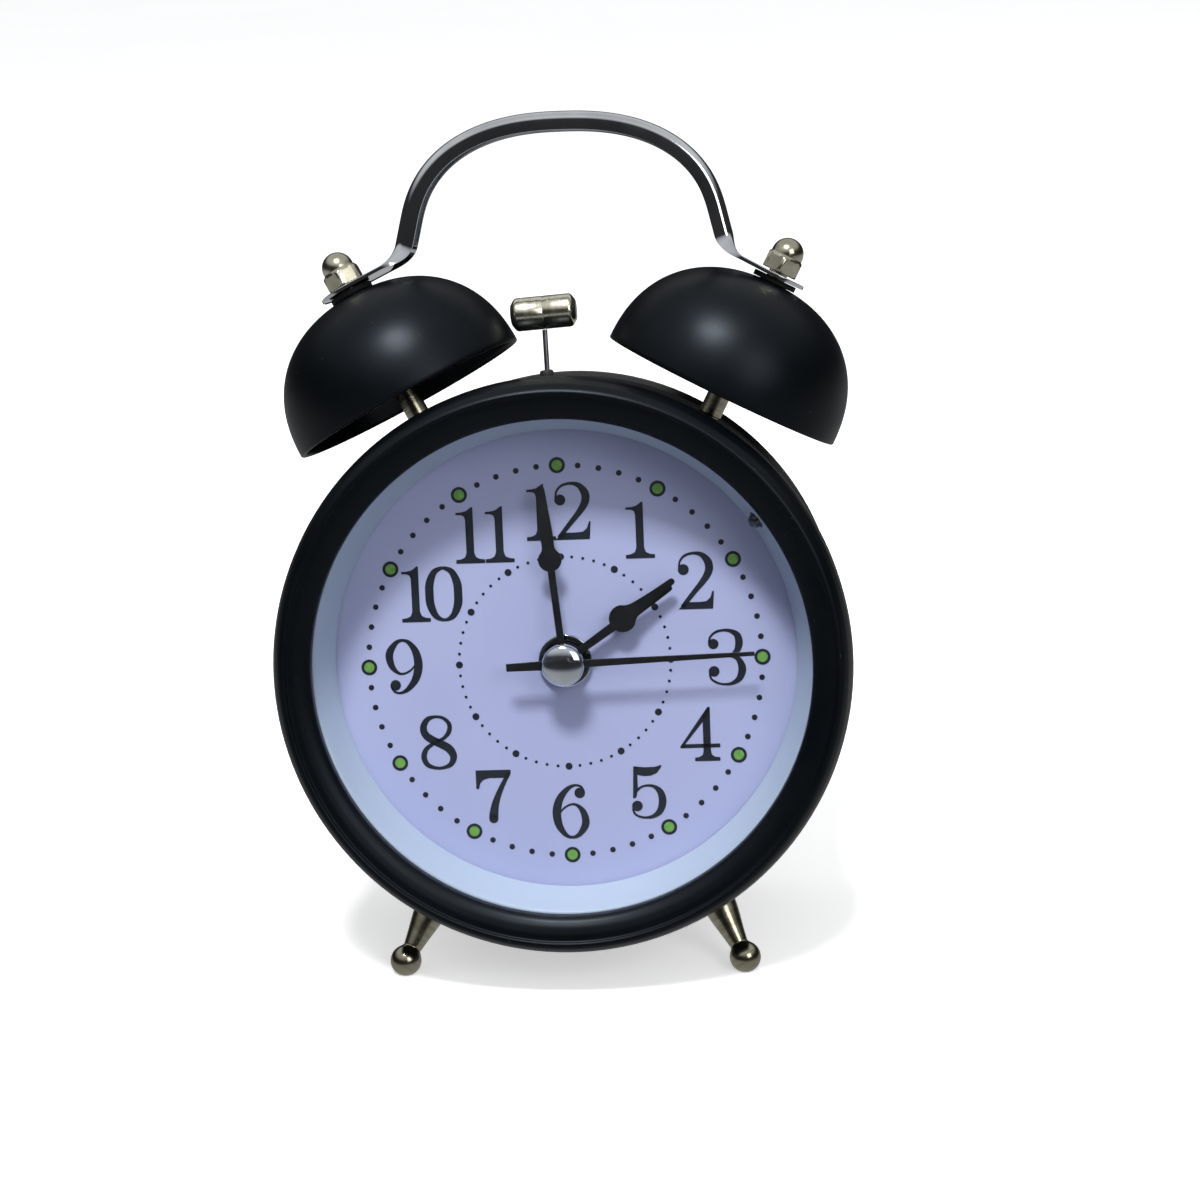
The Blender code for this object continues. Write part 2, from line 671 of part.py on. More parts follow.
def bent_wire(steps):
    """The hammer's wire: up from the lever to one bend, then square into the underside of the head."""
    top_z = HAMMER_REACH - HAMMER_R - GAP
    levels = [(0.0, WIRE_FOOT_Z)]
    for z in (WIRE_BEND_Z, top_z):
        levels.append((HEAD_X - (HAMMER_REACH - z) * math.tan(WIRE_SLOPE), z))
    verts = [(x, y, z) for centre, z in levels for x, y in circle(ROD_R, steps, (centre, 0.0))]
    faces = [list(range(steps))[::-1], list(range(2 * steps, 3 * steps))]
    for low in (0, steps):
        for k in range(steps):
            after = (k + 1) % steps
            faces.append([low + k, low + after, low + steps + after, low + steps + k])
    return verts, faces


def make_hammer(clock, nickel, steel):
    frame = hammer_frame(clock)
    bevel = 0.5 * MM
    profile = [
        (0.0, HAMMER_HALF), (HAMMER_R - bevel, HAMMER_HALF), (HAMMER_R, HAMMER_HALF - bevel),
        (HAMMER_R, bevel - HAMMER_HALF), (HAMMER_R - bevel, -HAMMER_HALF), (0.0, -HAMMER_HALF),
    ]
    turn = (0.0, math.pi / 2 + HEAD_TILT, 0.0)
    part("hammer_head", turned(profile, 24), nickel, frame, (HEAD_X, 0.0, HAMMER_REACH), turn)
    part("hammer_rod", bent_wire(10), steel, frame)
    arm = [(-2.2, -1.6), (1.6, -2.2), (9.0, -1.0), (14.5, -1.0), (14.5, 1.0), (9.0, 1.0)]
    arm += [(2.2, 2.6), (1.1, 6.7), (-1.1, 6.7), (-2.2, 2.2)]
    outline = [(x * MM, z * MM) for x, z in arm]
    plate = stacked([(outline, -0.6 * MM, 0.6 * MM)], bore=circle(1.0 * MM, 12))
    part("hammer_lever", plate, steel, frame)


def make_striker(clock, steel, copper):
    """The pivot pin, and the coil and core that pull the lever's arm down."""
    pin = along_case(rod(0.75 * MM, BELL_Y - 1.6 * MM, BELL_Y + 3.0 * MM, 12))
    part("hammer_pivot_pin", pin, steel, clock, (0.0, 0.0, PIVOT_Z))
    y0, y1 = BELL_Y + 3.3 * MM, BELL_Y + 4.3 * MM
    sheet = [(-6.0, 22.0), (18.0, 22.0), (18.0, 30.0), (4.0, 32.0), (-4.0, 32.0)]
    outline = [(x * MM, z * MM) for x, z in sheet]
    bracket = part("striker_bracket", stacked([(outline, y0, y1)]), steel, clock)
    low, high = MOVEMENT_TOP + GAP, MOVEMENT_TOP + 1.2 * MM
    foot = block(-6 * MM, 18 * MM, BELL_Y - 4 * MM, y0 + 0.5 * MM, low, high)
    web = block(-6 * MM, 18 * MM, y0, y1, low, 22.5 * MM)
    boolean(bracket, foot, "UNION", clock)
    boolean(bracket, web, "UNION", clock)
    x = 12.0 * MM
    base = MOVEMENT_TOP + 1.2 * MM + GAP
    coil = tube(2.9 * MM, 1.3 * MM, base, base + 3.2 * MM, 20)
    part("striker_coil", coil, copper, clock, (x, BELL_Y - 0.2 * MM, 0.0))
    part("striker_core", rod(1.0 * MM, base, base + 3.5 * MM, 12), steel, clock, (x, BELL_Y - 0.2 * MM, 0.0))


# ---------------------------------------------------------------- movement

def time_stem_place():
    return polar(2 * MOTION_D, MOTION_ANGLE)


def alarm_stem_place():
    return polar(ALARM_D, ALARM_ANGLE)


def intermediate_place():
    return polar(INTER_D, INTER_ANGLE)


def rotor_place():
    x, z = intermediate_place()
    dx, dz = polar(ROTOR_D, ROTOR_ANGLE)
    return (x + dx, z + dz)


def make_movement_case(clock, black, nickel):
    """A shallow box with a threaded tube that comes through the dial, closed by a rear plate."""
    x, wall = MOVEMENT_HALF_X, MOVEMENT_WALL
    box = block(-x, x, MOVEMENT_Y, MOVEMENT_BACK_Y, MOVEMENT_BOTTOM, MOVEMENT_TOP)
    housing = part("movement_housing", box, black, clock)
    hollow = block(
        -x + wall, x - wall, MOVEMENT_Y + wall, MOVEMENT_BACK_Y + wall,
        MOVEMENT_BOTTOM + wall, MOVEMENT_TOP - wall,
    )
    cut(housing, hollow, clock)
    boolean(housing, stacked([(circle(3.0 * MM, 24), 11.8 * MM, MOVEMENT_Y + 0.5 * MM)]), "UNION", clock)
    cut(housing, stacked([(circle(2.4 * MM, 24), 10 * MM, MOVEMENT_Y + 3 * MM)]), clock)
    rear = stacked([(rounded_box(x, MOVEMENT_BOTTOM, MOVEMENT_TOP), MOVEMENT_BACK_Y + GAP, 28.3 * MM)])
    cover = part("movement_cover", rear, black, clock)
    for place in (time_stem_place(), alarm_stem_place()):
        cut(cover, stacked([(circle(STEM_R + GAP, 16, place), 26 * MM, 30 * MM)]), clock)
    nut = stacked([(circle(4.15 * MM, 24), 11.9 * MM, DIAL_Y - GAP)], bore=circle(3.2 * MM, 24))
    part("centre_fixing_nut", nut, nickel, clock)


def rounded_box(half_x, low, high, corner=1.5 * MM):
    return [
        (-half_x + corner, low), (half_x - corner, low), (half_x, low + corner), (half_x, high - corner),
        (half_x - corner, high), (-half_x + corner, high), (-half_x, high - corner), (-half_x, low + corner),
    ]


def make_train(clock, brass, plastic, magnet):
    """The wheels between the stepping rotor and the hands. Each object turns on its own arbor."""
    third_m = mesh_module(THIRD_D, THIRD_TEETH, SECONDS_PINION)
    centre_m = mesh_module(THIRD_D, CENTRE_TEETH, THIRD_PINION)
    motion_m = mesh_module(MOTION_D, MOTION_TEETH, CANNON_PINION)
    hour_m = mesh_module(MOTION_D, HOUR_TEETH, MOTION_PINION)
    inter_m = mesh_module(INTER_D, SECONDS_TEETH, INTER_PINION)
    rotor_m = mesh_module(ROTOR_D, INTER_TEETH, ROTOR_PINION)
    arbor = circle(ARBOR_R, 8)
    facing = math.pi

    wheel = gear(SECONDS_TEETH, inter_m, INTER_ANGLE)
    pinion = gear(SECONDS_PINION, third_m, THIRD_ANGLE)
    slices = [(arbor, 8.1 * MM, 21.0 * MM), (pinion, 21.0 * MM, 22.2 * MM), (wheel, 22.2 * MM, 23.2 * MM)]
    slices += [(arbor, 23.2 * MM, 26.8 * MM)]
    part("seconds_wheel", stacked(slices), plastic, clock)

    pinion = gear(THIRD_PINION, centre_m, THIRD_ANGLE + facing)
    wheel = gear(THIRD_TEETH, third_m, gap_phase(THIRD_TEETH, THIRD_ANGLE + facing))
    slices = [(arbor, 18.9 * MM, 19.5 * MM), (pinion, 19.5 * MM, 20.9 * MM), (wheel, 20.9 * MM, 21.8 * MM)]
    slices += [(arbor, 21.8 * MM, 26.8 * MM)]
    x, z = polar(THIRD_D, THIRD_ANGLE)
    part("third_wheel", stacked(slices), plastic, clock, (x, 0.0, z))

    wheel = gear(CENTRE_TEETH, centre_m, gap_phase(CENTRE_TEETH, THIRD_ANGLE))
    cannon = gear(CANNON_PINION, motion_m, MOTION_ANGLE)
    slices = [(circle(0.95 * MM, 12), 9.0 * MM, 18.0 * MM), (cannon, 18.0 * MM, 19.3 * MM)]
    slices += [(wheel, 19.3 * MM, 20.3 * MM)]
    part("centre_wheel", stacked(slices, bore=circle(0.65 * MM, 12)), plastic, clock)

    pinion = gear(MOTION_PINION, hour_m, MOTION_ANGLE + facing)
    wheel = gear(MOTION_TEETH, motion_m, gap_phase(MOTION_TEETH, MOTION_ANGLE + facing))
    slices = [(pinion, 16.4 * MM, 18.1 * MM), (wheel, 18.1 * MM, 19.0 * MM)]
    x, z = polar(MOTION_D, MOTION_ANGLE)
    part("motion_wheel", stacked(slices), plastic, clock, (x, 0.0, z))

    wheel = gear(HOUR_TEETH, hour_m, gap_phase(HOUR_TEETH, MOTION_ANGLE))
    slices = [(circle(1.5 * MM, 12), 10.0 * MM, 16.5 * MM), (wheel, 16.5 * MM, 17.5 * MM)]
    part("hour_wheel", stacked(slices, bore=circle(1.2 * MM, 12)), plastic, clock)

    alarm_m = mesh_module(ALARM_D, ALARM_TEETH, ALARM_PINION)
    wheel = gear(ALARM_TEETH, alarm_m, gap_phase(ALARM_TEETH, ALARM_ANGLE))
    slices = [(circle(2.05 * MM, 12), 10.95 * MM, 15.1 * MM), (wheel, 15.1 * MM, 16.0 * MM)]
    part("alarm_wheel", stacked(slices, bore=circle(1.75 * MM, 12)), plastic, clock)

    pinion = gear(INTER_PINION, inter_m, gap_phase(INTER_PINION, INTER_ANGLE + facing))
    wheel = gear(INTER_TEETH, rotor_m, ROTOR_ANGLE)
    slices = [(pinion, 22.3 * MM, 24.0 * MM), (wheel, 24.0 * MM, 24.8 * MM), (arbor, 24.8 * MM, 26.8 * MM)]
    x, z = intermediate_place()
    part("intermediate_wheel", stacked(slices), plastic, clock, (x, 0.0, z))

    pinion = gear(ROTOR_PINION, rotor_m, gap_phase(ROTOR_PINION, ROTOR_ANGLE + facing))
    slices = [(arbor, 22.9 * MM, 23.6 * MM), (pinion, 23.6 * MM, 25.0 * MM)]
    slices += [(circle(2.2 * MM, 16), 25.0 * MM, 26.8 * MM)]
    x, z = rotor_place()
    part("rotor", stacked(slices), magnet, clock, (x, 0.0, z))


def make_motor(clock, steel, copper, green, tin):
    """The stator and coil that step the rotor, and the board that times it."""
    x, z = rotor_place()
    plate = block(-25.0 * MM, -2.5 * MM, 25.2 * MM, 26.4 * MM, 4.9 * MM, 13.4 * MM)
    stator = part("stator", plate, steel, clock)
    cut(stator, stacked([(circle(2.6 * MM, 20, (x, z)), 25 * MM, 27 * MM)]), clock)
    cut(stator, stacked([(circle(5.7 * MM, 24, intermediate_place()), 20 * MM, 28 * MM)]), clock)
    profile = [
        (2.6, 7.0), (2.6, 6.2), (2.2, 6.2), (2.2, -6.2), (2.6, -6.2), (2.6, -7.0), (0.9, -7.0), (0.9, 7.0),
    ]
    spool = turned([(r * MM, h * MM) for r, h in profile], 16)
    part("drive_coil", spool, copper, clock, (-17.8 * MM, 21.8 * MM, 11.0 * MM), (0.0, math.pi / 2, 0.0))
    board = block(-24.0 * MM, 24.0 * MM, 24.6 * MM, 25.6 * MM, -23.0 * MM, -10.5 * MM)
    part("circuit_board", board, green, clock)
    can = rod(1.0 * MM, -3.0 * MM, 3.0 * MM, 12)
    part("quartz_crystal", can, tin, clock, (10 * MM, 23.2 * MM, -16 * MM), (0.0, math.pi / 2, 0.0))


# ---------------------------------------------------------------- hands

def hand_outline(right):
    """The whole outline of a hand that points up, from its right-hand edge, tail to tip, in mm."""
    edge = [(x * MM, z * MM) for x, z in right]
    return edge + [(-x, z) for x, z in edge[::-1] if x > 0]


def spade_edge(reach, bulb_z, bulb_r, stem, tip, hub_r):
    """The right-hand edge, in mm, of a hand with a round bulb and a tapering blade beyond it."""
    start = math.asin(stem / hub_r)
    edge = [(hub_r * math.sin(a), -hub_r * math.cos(a)) for a in (math.pi / 8 * k for k in range(7))]
    edge.append((stem, hub_r * math.cos(start)))
    low = math.asin(stem / bulb_r)
    high = math.radians(118)
    for k in range(7):
        angle = low + (high - low) * k / 6
        edge.append((bulb_r * math.sin(angle), bulb_z - bulb_r * math.cos(angle)))
    shoulder_x, shoulder_z = edge[-1]
    blade_z = shoulder_z + 1.9 * bulb_r
    edge.append((shoulder_x * 0.62, shoulder_z + 0.55 * bulb_r))
    edge.append((tip * 1.55, blade_z))
    edge.append((tip, reach - tip))
    edge.append((tip * 0.6, reach - tip * 0.2))
    edge.append((0.0, reach))
    return edge


def make_hands(clock, black, nickel):
    """Four hands stacked in front of the dial. Each is drawn at twelve and turned to its rest."""
    minute = hand_outline(spade_edge(27.5, 16.1, 1.8, 0.55, 0.62, 2.3))
    hour = hand_outline(spade_edge(21.2, 11.3, 2.1, 0.6, 0.5, 2.6))
    alarm = hand_outline(spade_edge(20.2, 11.0, 1.3, 0.55, 0.45, 3.0))
    second = hand_outline([
        (0.6, -8.8), (0.62, -2.2), (1.4, -1.9), (2.1, -0.9), (2.2, 0.0), (2.1, 0.9), (1.4, 1.9),
        (0.65, 2.3), (0.33, 29.2),
    ])
    hands = [
        ("minute_hand", minute, 9.35, 9.65, 1.15, MINUTE_ANGLE),
        ("hour_hand", hour, 10.3, 10.65, 1.7, HOUR_ANGLE),
        ("alarm_hand", alarm, 11.2, 11.5, 2.25, ALARM_HAND_ANGLE),
        ("second_hand", second, 8.45, 8.7, 0.65, SECOND_ANGLE),
    ]
    for name, outline, front, back, bore, angle in hands:
        shape = stacked([(outline, front * MM, back * MM)], bore=circle(bore * MM, 12))
        part(name, shape, black, clock, (0.0, 0.0, 0.0), (0.0, angle, 0.0))
    cap_r = 3.25 * MM
    dome = [(cap_r * math.sin(a), (7.7 - 1.2 * math.cos(a)) * MM) for a in quarter(4)[1:]]
    under = [(cap_r, 8.15 * MM), (0.75 * MM, 8.15 * MM), (0.75 * MM, 7.8 * MM), (0.0, 7.8 * MM)]
    profile = [(0.0, 6.5 * MM)] + dome + under
    part("second_hand_cap", along_case(turned(profile, 16)), nickel, clock)


# ---------------------------------------------------------------- controls and battery

def make_controls(clock, plastic, red):
    """The two setting knobs with their stems, the alarm's slide switch and the light's button."""
    motion_m = mesh_module(MOTION_D, MOTION_TEETH, SET_PINION)
    alarm_m = mesh_module(ALARM_D, ALARM_TEETH, ALARM_PINION)
    stem = circle(STEM_R, 12)
    time_pinion = gear(SET_PINION, motion_m, MOTION_ANGLE + math.pi)
    time_slices = [(time_pinion, 17.9 * MM, 19.2 * MM), (stem, 19.2 * MM, KNOB_Y + 2.4 * MM)]
    alarm_pinion = gear(ALARM_PINION, alarm_m, ALARM_ANGLE + math.pi)
    alarm_slices = [(alarm_pinion, 14.9 * MM + GAP, 16.2 * MM), (stem, 16.2 * MM, KNOB_Y + 2.4 * MM)]
    flutes = []
    for k in range(40):
        flutes.append(polar(KNOB_R - (0.0 if k % 4 in (0, 1) else 0.45 * MM), 2 * math.pi * k / 40))
    top = circle(KNOB_R - 0.8 * MM, 40)
    back = KNOB_Y + KNOB_HEIGHT
    for word, slices, (x, z) in (
        ("time", time_slices, time_stem_place()), ("alarm", alarm_slices, alarm_stem_place()),
    ):
        part(f"{word}_set_stem", stacked(slices), plastic, clock, (x, 0.0, z))
        shape = stacked([(flutes, KNOB_Y, back - 0.6 * MM), (top, back - 0.6 * MM, back)])
        knob = part(f"{word}_set_knob", shape, plastic, clock, (x, 0.0, z))
        socket = stacked([(circle(STEM_R + 0.15 * MM, 12), KNOB_Y - MM, KNOB_Y + 2.7 * MM)])
        cut(knob, socket, clock, (x, 0.0, z))
    low, high = SWITCH_Z - 1.0 * MM, SWITCH_Z + 1.0 * MM
    left = SWITCH_X - SWITCH_TRAVEL / 2
    lever = block(left - 1.3 * MM, left + 1.3 * MM, 43.4 * MM, 48.2 * MM, low, high)
    key = part("alarm_switch", lever, red, clock)
    shoe = block(left - 3.6 * MM, left + 3.6 * MM, 43.4 * MM, COVER_Y - GAP, low - 1.4 * MM, high + 1.4 * MM)
    boolean(key, shoe, "UNION", clock)
    profile = [
        (0.0, 47.6 * MM), (BUTTON_R - 0.7 * MM, 47.6 * MM), (BUTTON_R, 47.1 * MM), (BUTTON_R, 44.7 * MM),
        (BUTTON_R + 0.9 * MM, 44.7 * MM), (BUTTON_R + 0.9 * MM, 43.9 * MM), (0.0, 43.9 * MM),
    ]
    shape = along_case(turned(profile, 20))
    part("light_button", shape, plastic, clock, (BUTTON_X, 0.0, BUTTON_Z))


def make_battery_bay(clock, black, jacket, tin):
    """A tray behind the movement for one AA cell, its two contacts and the door in the back cover."""
    inner_x, wall = 26.5 * MM, 0.9 * MM
    half_z = BATTERY_R + 0.5 * MM
    front, back = 28.7 * MM, COVER_Y - GAP
    x, z0, z1 = inner_x + wall, BATTERY_Z - half_z - wall, BATTERY_Z + half_z + wall
    tray = part("battery_box", block(-x, x, front, back, z0, z1), black, clock)
    hollow = block(-inner_x, inner_x, front + 0.9 * MM, back + MM, z0 + wall, z1 - wall)
    cut(tray, hollow, clock)
    shoulder = BATTERY_HALF - 1.1 * MM
    edge = 0.7 * MM
    profile = [
        (0.0, BATTERY_HALF), (2.6 * MM, BATTERY_HALF), (2.6 * MM, shoulder), (BATTERY_R - edge, shoulder),
        (BATTERY_R, shoulder - edge), (BATTERY_R, edge - BATTERY_HALF), (BATTERY_R - edge, -BATTERY_HALF),
        (0.0, -BATTERY_HALF),
    ]
    centre = (0.0, BATTERY_Y, BATTERY_Z)
    part("battery", turned(profile, 20), jacket, clock, centre, (0.0, math.pi / 2, 0.0))
    outside = inner_x - GAP
    for word, side in (("positive", 1), ("negative", -1)):
        xs = sorted((side * (outside - 0.5 * MM), side * outside))
        plate = block(*xs, 31.5 * MM, 43.5 * MM, BATTERY_Z - 5.5 * MM, BATTERY_Z + 5.5 * MM)
        contact = part(f"battery_contact_{word}", plate, tin, clock)
        low, high = sorted((side * (BATTERY_HALF + GAP), side * (outside - 0.2 * MM)))
        boolean(contact, rod(2.2 * MM, low, high), "UNION", clock, centre, (0.0, math.pi / 2, 0.0))
    z0, z1 = BATTERY_Z - DOOR_HALF_Z, BATTERY_Z + DOOR_HALF_Z
    panel = block(-DOOR_HALF_X, DOOR_HALF_X, COVER_Y, COVER_BACK_Y, z0, z1)
    door = part("battery_door", panel, black, clock)
    low, high = COVER_BACK_Y - 0.3 * MM, COVER_BACK_Y + 0.4 * MM
    for k in range(3):
        z = z1 - (2.0 + 1.4 * k) * MM
        rib = block(-5 * MM, 5 * MM, low, high, z - 0.35 * MM, z + 0.35 * MM)
        boolean(door, rib, "UNION", clock)


# ---------------------------------------------------------------- the whole clock

def lean_angle():
    """The lean that brings the flats of the feet and the rim of the back cover to one floor."""
    run = COVER_Y + 0.5 * MM - FOOT_Y
    rise = -FOOT_Z - COVER_R
    return math.asin(FOOT_FLAT / math.hypot(run, rise)) + math.atan2(rise, run)


def stand_on_floor(clock):
    """Moves the clock so that its bounding box stands on z = 0, centred on the origin."""
    bpy.context.view_layer.update()
    graph = bpy.context.evaluated_depsgraph_get()
    low, high = Vector((1, 1, 1)), Vector((-1, -1, -1))
    for piece in bpy.context.scene.objects:
        if piece.type != "MESH" or piece.hide_render:
            continue
        evaluated = piece.evaluated_get(graph)
        place = evaluated.matrix_world
        for vertex in evaluated.data.vertices:
            point = place @ vertex.co
            low = Vector(map(min, low, point))
            high = Vector(map(max, high, point))
    clock.location = Vector((-(low.x + high.x) / 2, -(low.y + high.y) / 2, -low.z))


def main():
    for old in list(bpy.data.objects):
        bpy.data.objects.remove(old, do_unlink=True)
    black = material("satin_black_paint", (0.017, 0.019, 0.021), 0.42, 0.0)
    plastic = material("black_plastic", (0.02, 0.02, 0.022), 0.5, 0.0)
    glass = material("clear_glass", (0.9, 0.93, 0.95), 0.05, 0.0)
    white = material("white_plastic", (0.62, 0.72, 0.85), 0.45, 0.0)
    lavender = material("lavender_card", (0.42, 0.46, 0.7), 0.6, 0.0)
    dark_glass = material("smoked_glass", (0.02, 0.02, 0.03), 0.1, 0.0)
    rubber = material("black_rubber", (0.015, 0.015, 0.016), 0.8, 0.0)
    nickel = material("bright_nickel", (0.55, 0.53, 0.45), 0.22, 1.0)
    chrome = material("chrome", (0.75, 0.76, 0.78), 0.08, 1.0)
    steel = material("plain_steel", (0.5, 0.5, 0.52), 0.35, 1.0)
    hand_black = material("black_enamel", (0.008, 0.008, 0.01), 0.35, 0.0)
    gear_plastic = material("natural_plastic", (0.75, 0.72, 0.62), 0.45, 0.0)
    copper = material("copper_wire", (0.65, 0.27, 0.13), 0.35, 1.0)
    board_green = material("green_board", (0.03, 0.19, 0.07), 0.5, 0.0)
    magnet = material("dark_magnet", (0.06, 0.06, 0.065), 0.4, 0.6)
    tin = material("tinned_steel", (0.7, 0.7, 0.72), 0.25, 1.0)
    jacket = material("battery_jacket", (0.05, 0.16, 0.09), 0.35, 0.3)
    red = material("red_plastic", (0.5, 0.02, 0.02), 0.4, 0.0)

    lean = lean_angle()
    clock = empty("clock_frame", None, (0.0, 0.0, 0.0), (-lean, 0.0, 0.0))
    make_bezel(clock, black)
    make_drum(clock, black)
    make_lens(clock, glass)
    make_reflector_ring(clock, white)
    make_lamp(clock, dark_glass)
    make_dial(clock, lavender)
    make_back_cover(clock, plastic)
    for side in (-1, 1):
        make_bell_set(clock, side, black, rubber, nickel, steel)
        make_leg(clock, side, lean, nickel, steel)
    make_handle(clock, chrome)
    make_hammer(clock, nickel, steel)
    make_striker(clock, steel, copper)
    make_movement_case(clock, plastic, chrome)
    make_train(clock, steel, gear_plastic, magnet)
    make_motor(clock, steel, copper, board_green, tin)
    make_hands(clock, hand_black, chrome)
    make_controls(clock, plastic, red)
    make_battery_bay(clock, plastic, jacket, tin)
    stand_on_floor(clock)


main()
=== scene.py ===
"""The looks of a twin-bell alarm clock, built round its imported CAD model.

Shapes are drawn in millimetres in the clock's own frame: X to the right as the dial is read, Y
back along the case axis from the crest of the bezel, and Z up the dial. The whole clock leans
back, so that frame is found from the axis that the hands turn on.
"""

import json
from math import asin, atan2, cos, pi, radians, sin, sqrt, tan

import bmesh
import bpy
from mathutils import Matrix, Vector
from mathutils.geometry import tessellate_polygon

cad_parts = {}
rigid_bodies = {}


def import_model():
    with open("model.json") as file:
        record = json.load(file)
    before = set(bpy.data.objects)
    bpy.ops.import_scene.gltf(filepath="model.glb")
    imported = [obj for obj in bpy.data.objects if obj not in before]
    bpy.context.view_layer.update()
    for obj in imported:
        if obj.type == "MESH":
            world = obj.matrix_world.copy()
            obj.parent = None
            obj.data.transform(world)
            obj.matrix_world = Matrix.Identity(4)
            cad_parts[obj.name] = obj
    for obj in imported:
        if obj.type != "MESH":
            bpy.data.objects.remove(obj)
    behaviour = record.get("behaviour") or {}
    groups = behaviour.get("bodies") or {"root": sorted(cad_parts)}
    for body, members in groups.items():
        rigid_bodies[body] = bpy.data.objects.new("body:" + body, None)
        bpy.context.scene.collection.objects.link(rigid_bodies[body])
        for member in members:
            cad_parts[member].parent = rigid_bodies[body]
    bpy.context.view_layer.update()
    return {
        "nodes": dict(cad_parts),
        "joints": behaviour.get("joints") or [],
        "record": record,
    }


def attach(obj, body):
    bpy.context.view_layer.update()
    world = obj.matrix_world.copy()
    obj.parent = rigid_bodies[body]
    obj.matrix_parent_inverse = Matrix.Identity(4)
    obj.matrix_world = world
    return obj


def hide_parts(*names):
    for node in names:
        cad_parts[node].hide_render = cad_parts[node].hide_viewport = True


MM = 0.001
ROUND = 160
GAP = 0.3

# Case
BEZEL_R = 44.0
DRUM_R, DRUM_WALL = 42.5, 0.8
DRUM_FRONT_Y, DRUM_BACK_Y = 4.8, 44.7
COVER_R, COVER_Y, COVER_BACK_Y = 43.3, 45.0, 46.2
LENS_R, LENS_Y, LENS_BACK_Y, GLASS_INDEX = 39.4, 4.2, 5.4, 1.35
DIAL_R, DIAL_Y, DIAL_HOLE_R = 39.4, 12.8, 3.4

# Bells, on axes that lean outward
BELL_LEAN, LEFT_BELL_TIP = radians(27.3), radians(2.6)
BELL_X, BELL_Y, BELL_Z, BELL_SHIFT = 24.45, 23.0, 40.4, 0.4
BELL_R, BELL_HEIGHT, BELL_WALL, BELL_ROUNDNESS = 19.3, 18.4, 0.9, 2.25
POST_FOOT, STUD_FOOT = -4.2, -9.7
STUD_R, POST_R = 1.5, 1.8

# Handle
HANDLE_A, HANDLE_B, HANDLE_Z, HANDLE_ROUNDNESS, HANDLE_SKEW = 20.35, 14.46, 68.0, 2.45, 0.68
HANDLE_SPREAD = radians(13.6)
HANDLE_WIDTH, HANDLE_DEPTH, HANDLE_WALL = 6.0, 2.9, 0.5
TAB_WIDTH, TAB_THICKNESS = 9.0, 0.6
WASHER_R, WASHER_THICKNESS = 3.5, 0.3

# Fasteners, legs and hammer
NUT_FLATS, NUT_HEIGHT = 5.5, 5.6
FOOT_X, FOOT_Y, FOOT_Z = 26.7, 12.0, -47.3
LEG_LEAN, LEG_SPLAY = radians(27.5), radians(24.0)
FOOT_BALL_R, FOOT_FLAT = 2.45, 2.0
LEG_TOP = -16.0
PIVOT_Z, HAMMER_REACH, HAMMER_REST = 27.0, 26.4, radians(5.2)
HAMMER_R, HAMMER_HALF, ROD_R = 2.6, 5.15, 0.4
HEAD_X, HEAD_TILT, WIRE_SLOPE = -0.1, radians(1.4), radians(3.6)
WIRE_FOOT_Z, WIRE_BEND_Z = 7.0, 15.5
# Half the length and half the width of the slot that the wire swings in, and its corner radius
HAMMER_SLOT = (3.6, 1.3, 1.2)

# Hands at rest, turned clockwise from twelve
MINUTE_ANGLE = radians(-5.8)
HOUR_ANGLE = radians(54.0)
ALARM_HAND_ANGLE = radians(56.0)
SECOND_ANGLE = radians(87.8)

# Dial printing
PRINT_Y, PRINT_TOP_Y = DIAL_Y - 0.03, DIAL_Y - 0.05
PRINT_X, PRINT_Z, PRINT_TURN = -0.12, -0.3, radians(-0.45)
DOT_RING_R = 30.5
INNER_RING_R = 16.4
NUMERAL_HEIGHT = 8.6

# Night light
LAMP_ANGLE = radians(54.3)
LAMP_R, LAMP_TIP, LAMP_FLANGE, LAMP_Y = 1.15, 35.5, 3.4, 9.3

# Controls on the back
TIME_KNOB = (-14.095, -5.13)
ALARM_KNOB = (9.021, -3.283)
KNOB_R, KNOB_Y, KNOB_HEIGHT = 6.0, 46.8, 4.6
BUTTON_X, BUTTON_Z, BUTTON_R = -14.0, 24.0, 3.2
SWITCH_X, SWITCH_Z = 10.0, 24.0
DOOR_HALF_X, DOOR_HALF_Z, DOOR_Z = 26.5, 8.0, -20.4

# Camera, in the clock's frame
CAMERA = (29.65, -340.0, 57.48)
CAMERA_AIM = (5.62, 12.8, 9.26)
CAMERA_ROLL = radians(1.75)
CAMERA_LENS, CAMERA_SENSOR = 69.6, 36.0

# Floor and lights, in metres and watts
FLOOR_HALF, FLOOR_GLOW = 30.0, 0.52
LIGHT_AIM = (0.0, 0.0, 0.06)
KEY_PLACE, KEY_SIZE, KEY_POWER = (-0.06, -0.36, 0.86), (0.2, 0.13), 8.4
FILL_PLACE, FILL_SIZE, FILL_POWER = (0.5, -0.7, 0.5), (0.45, 0.45), 2.3
# The room's brightness by height, from straight down at 0 to straight up at 1
ROOM_LIGHT = [(0.0, 0.5), (0.4, 0.4), (0.47, 0.03), (0.68, 0.03), (0.77, 0.5), (0.86, 0.7), (1.0, 0.56)]


# ---------------- frame

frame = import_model()


def clock_frame():
    """The clock's own frame in the row frame, from the axis that its hands turn on."""
    joint = next(j for j in frame["joints"] if j["name"] == "seconds_turn")
    back = Vector(joint["axis"]).normalized()
    right = Vector((1.0, 0.0, 0.0))
    up = right.cross(back)
    turn = Matrix((right, back, up)).transposed().to_4x4()
    return Matrix.Translation(joint["pos_m"]) @ turn


CLOCK = clock_frame()


def place(x=0.0, y=0.0, z=0.0, rotation=None):
    """A place in the clock's frame, from millimetres and an optional turn."""
    there = Matrix.Translation(Vector((x, y, z)) * MM)
    return there @ rotation.to_4x4() if rotation else there


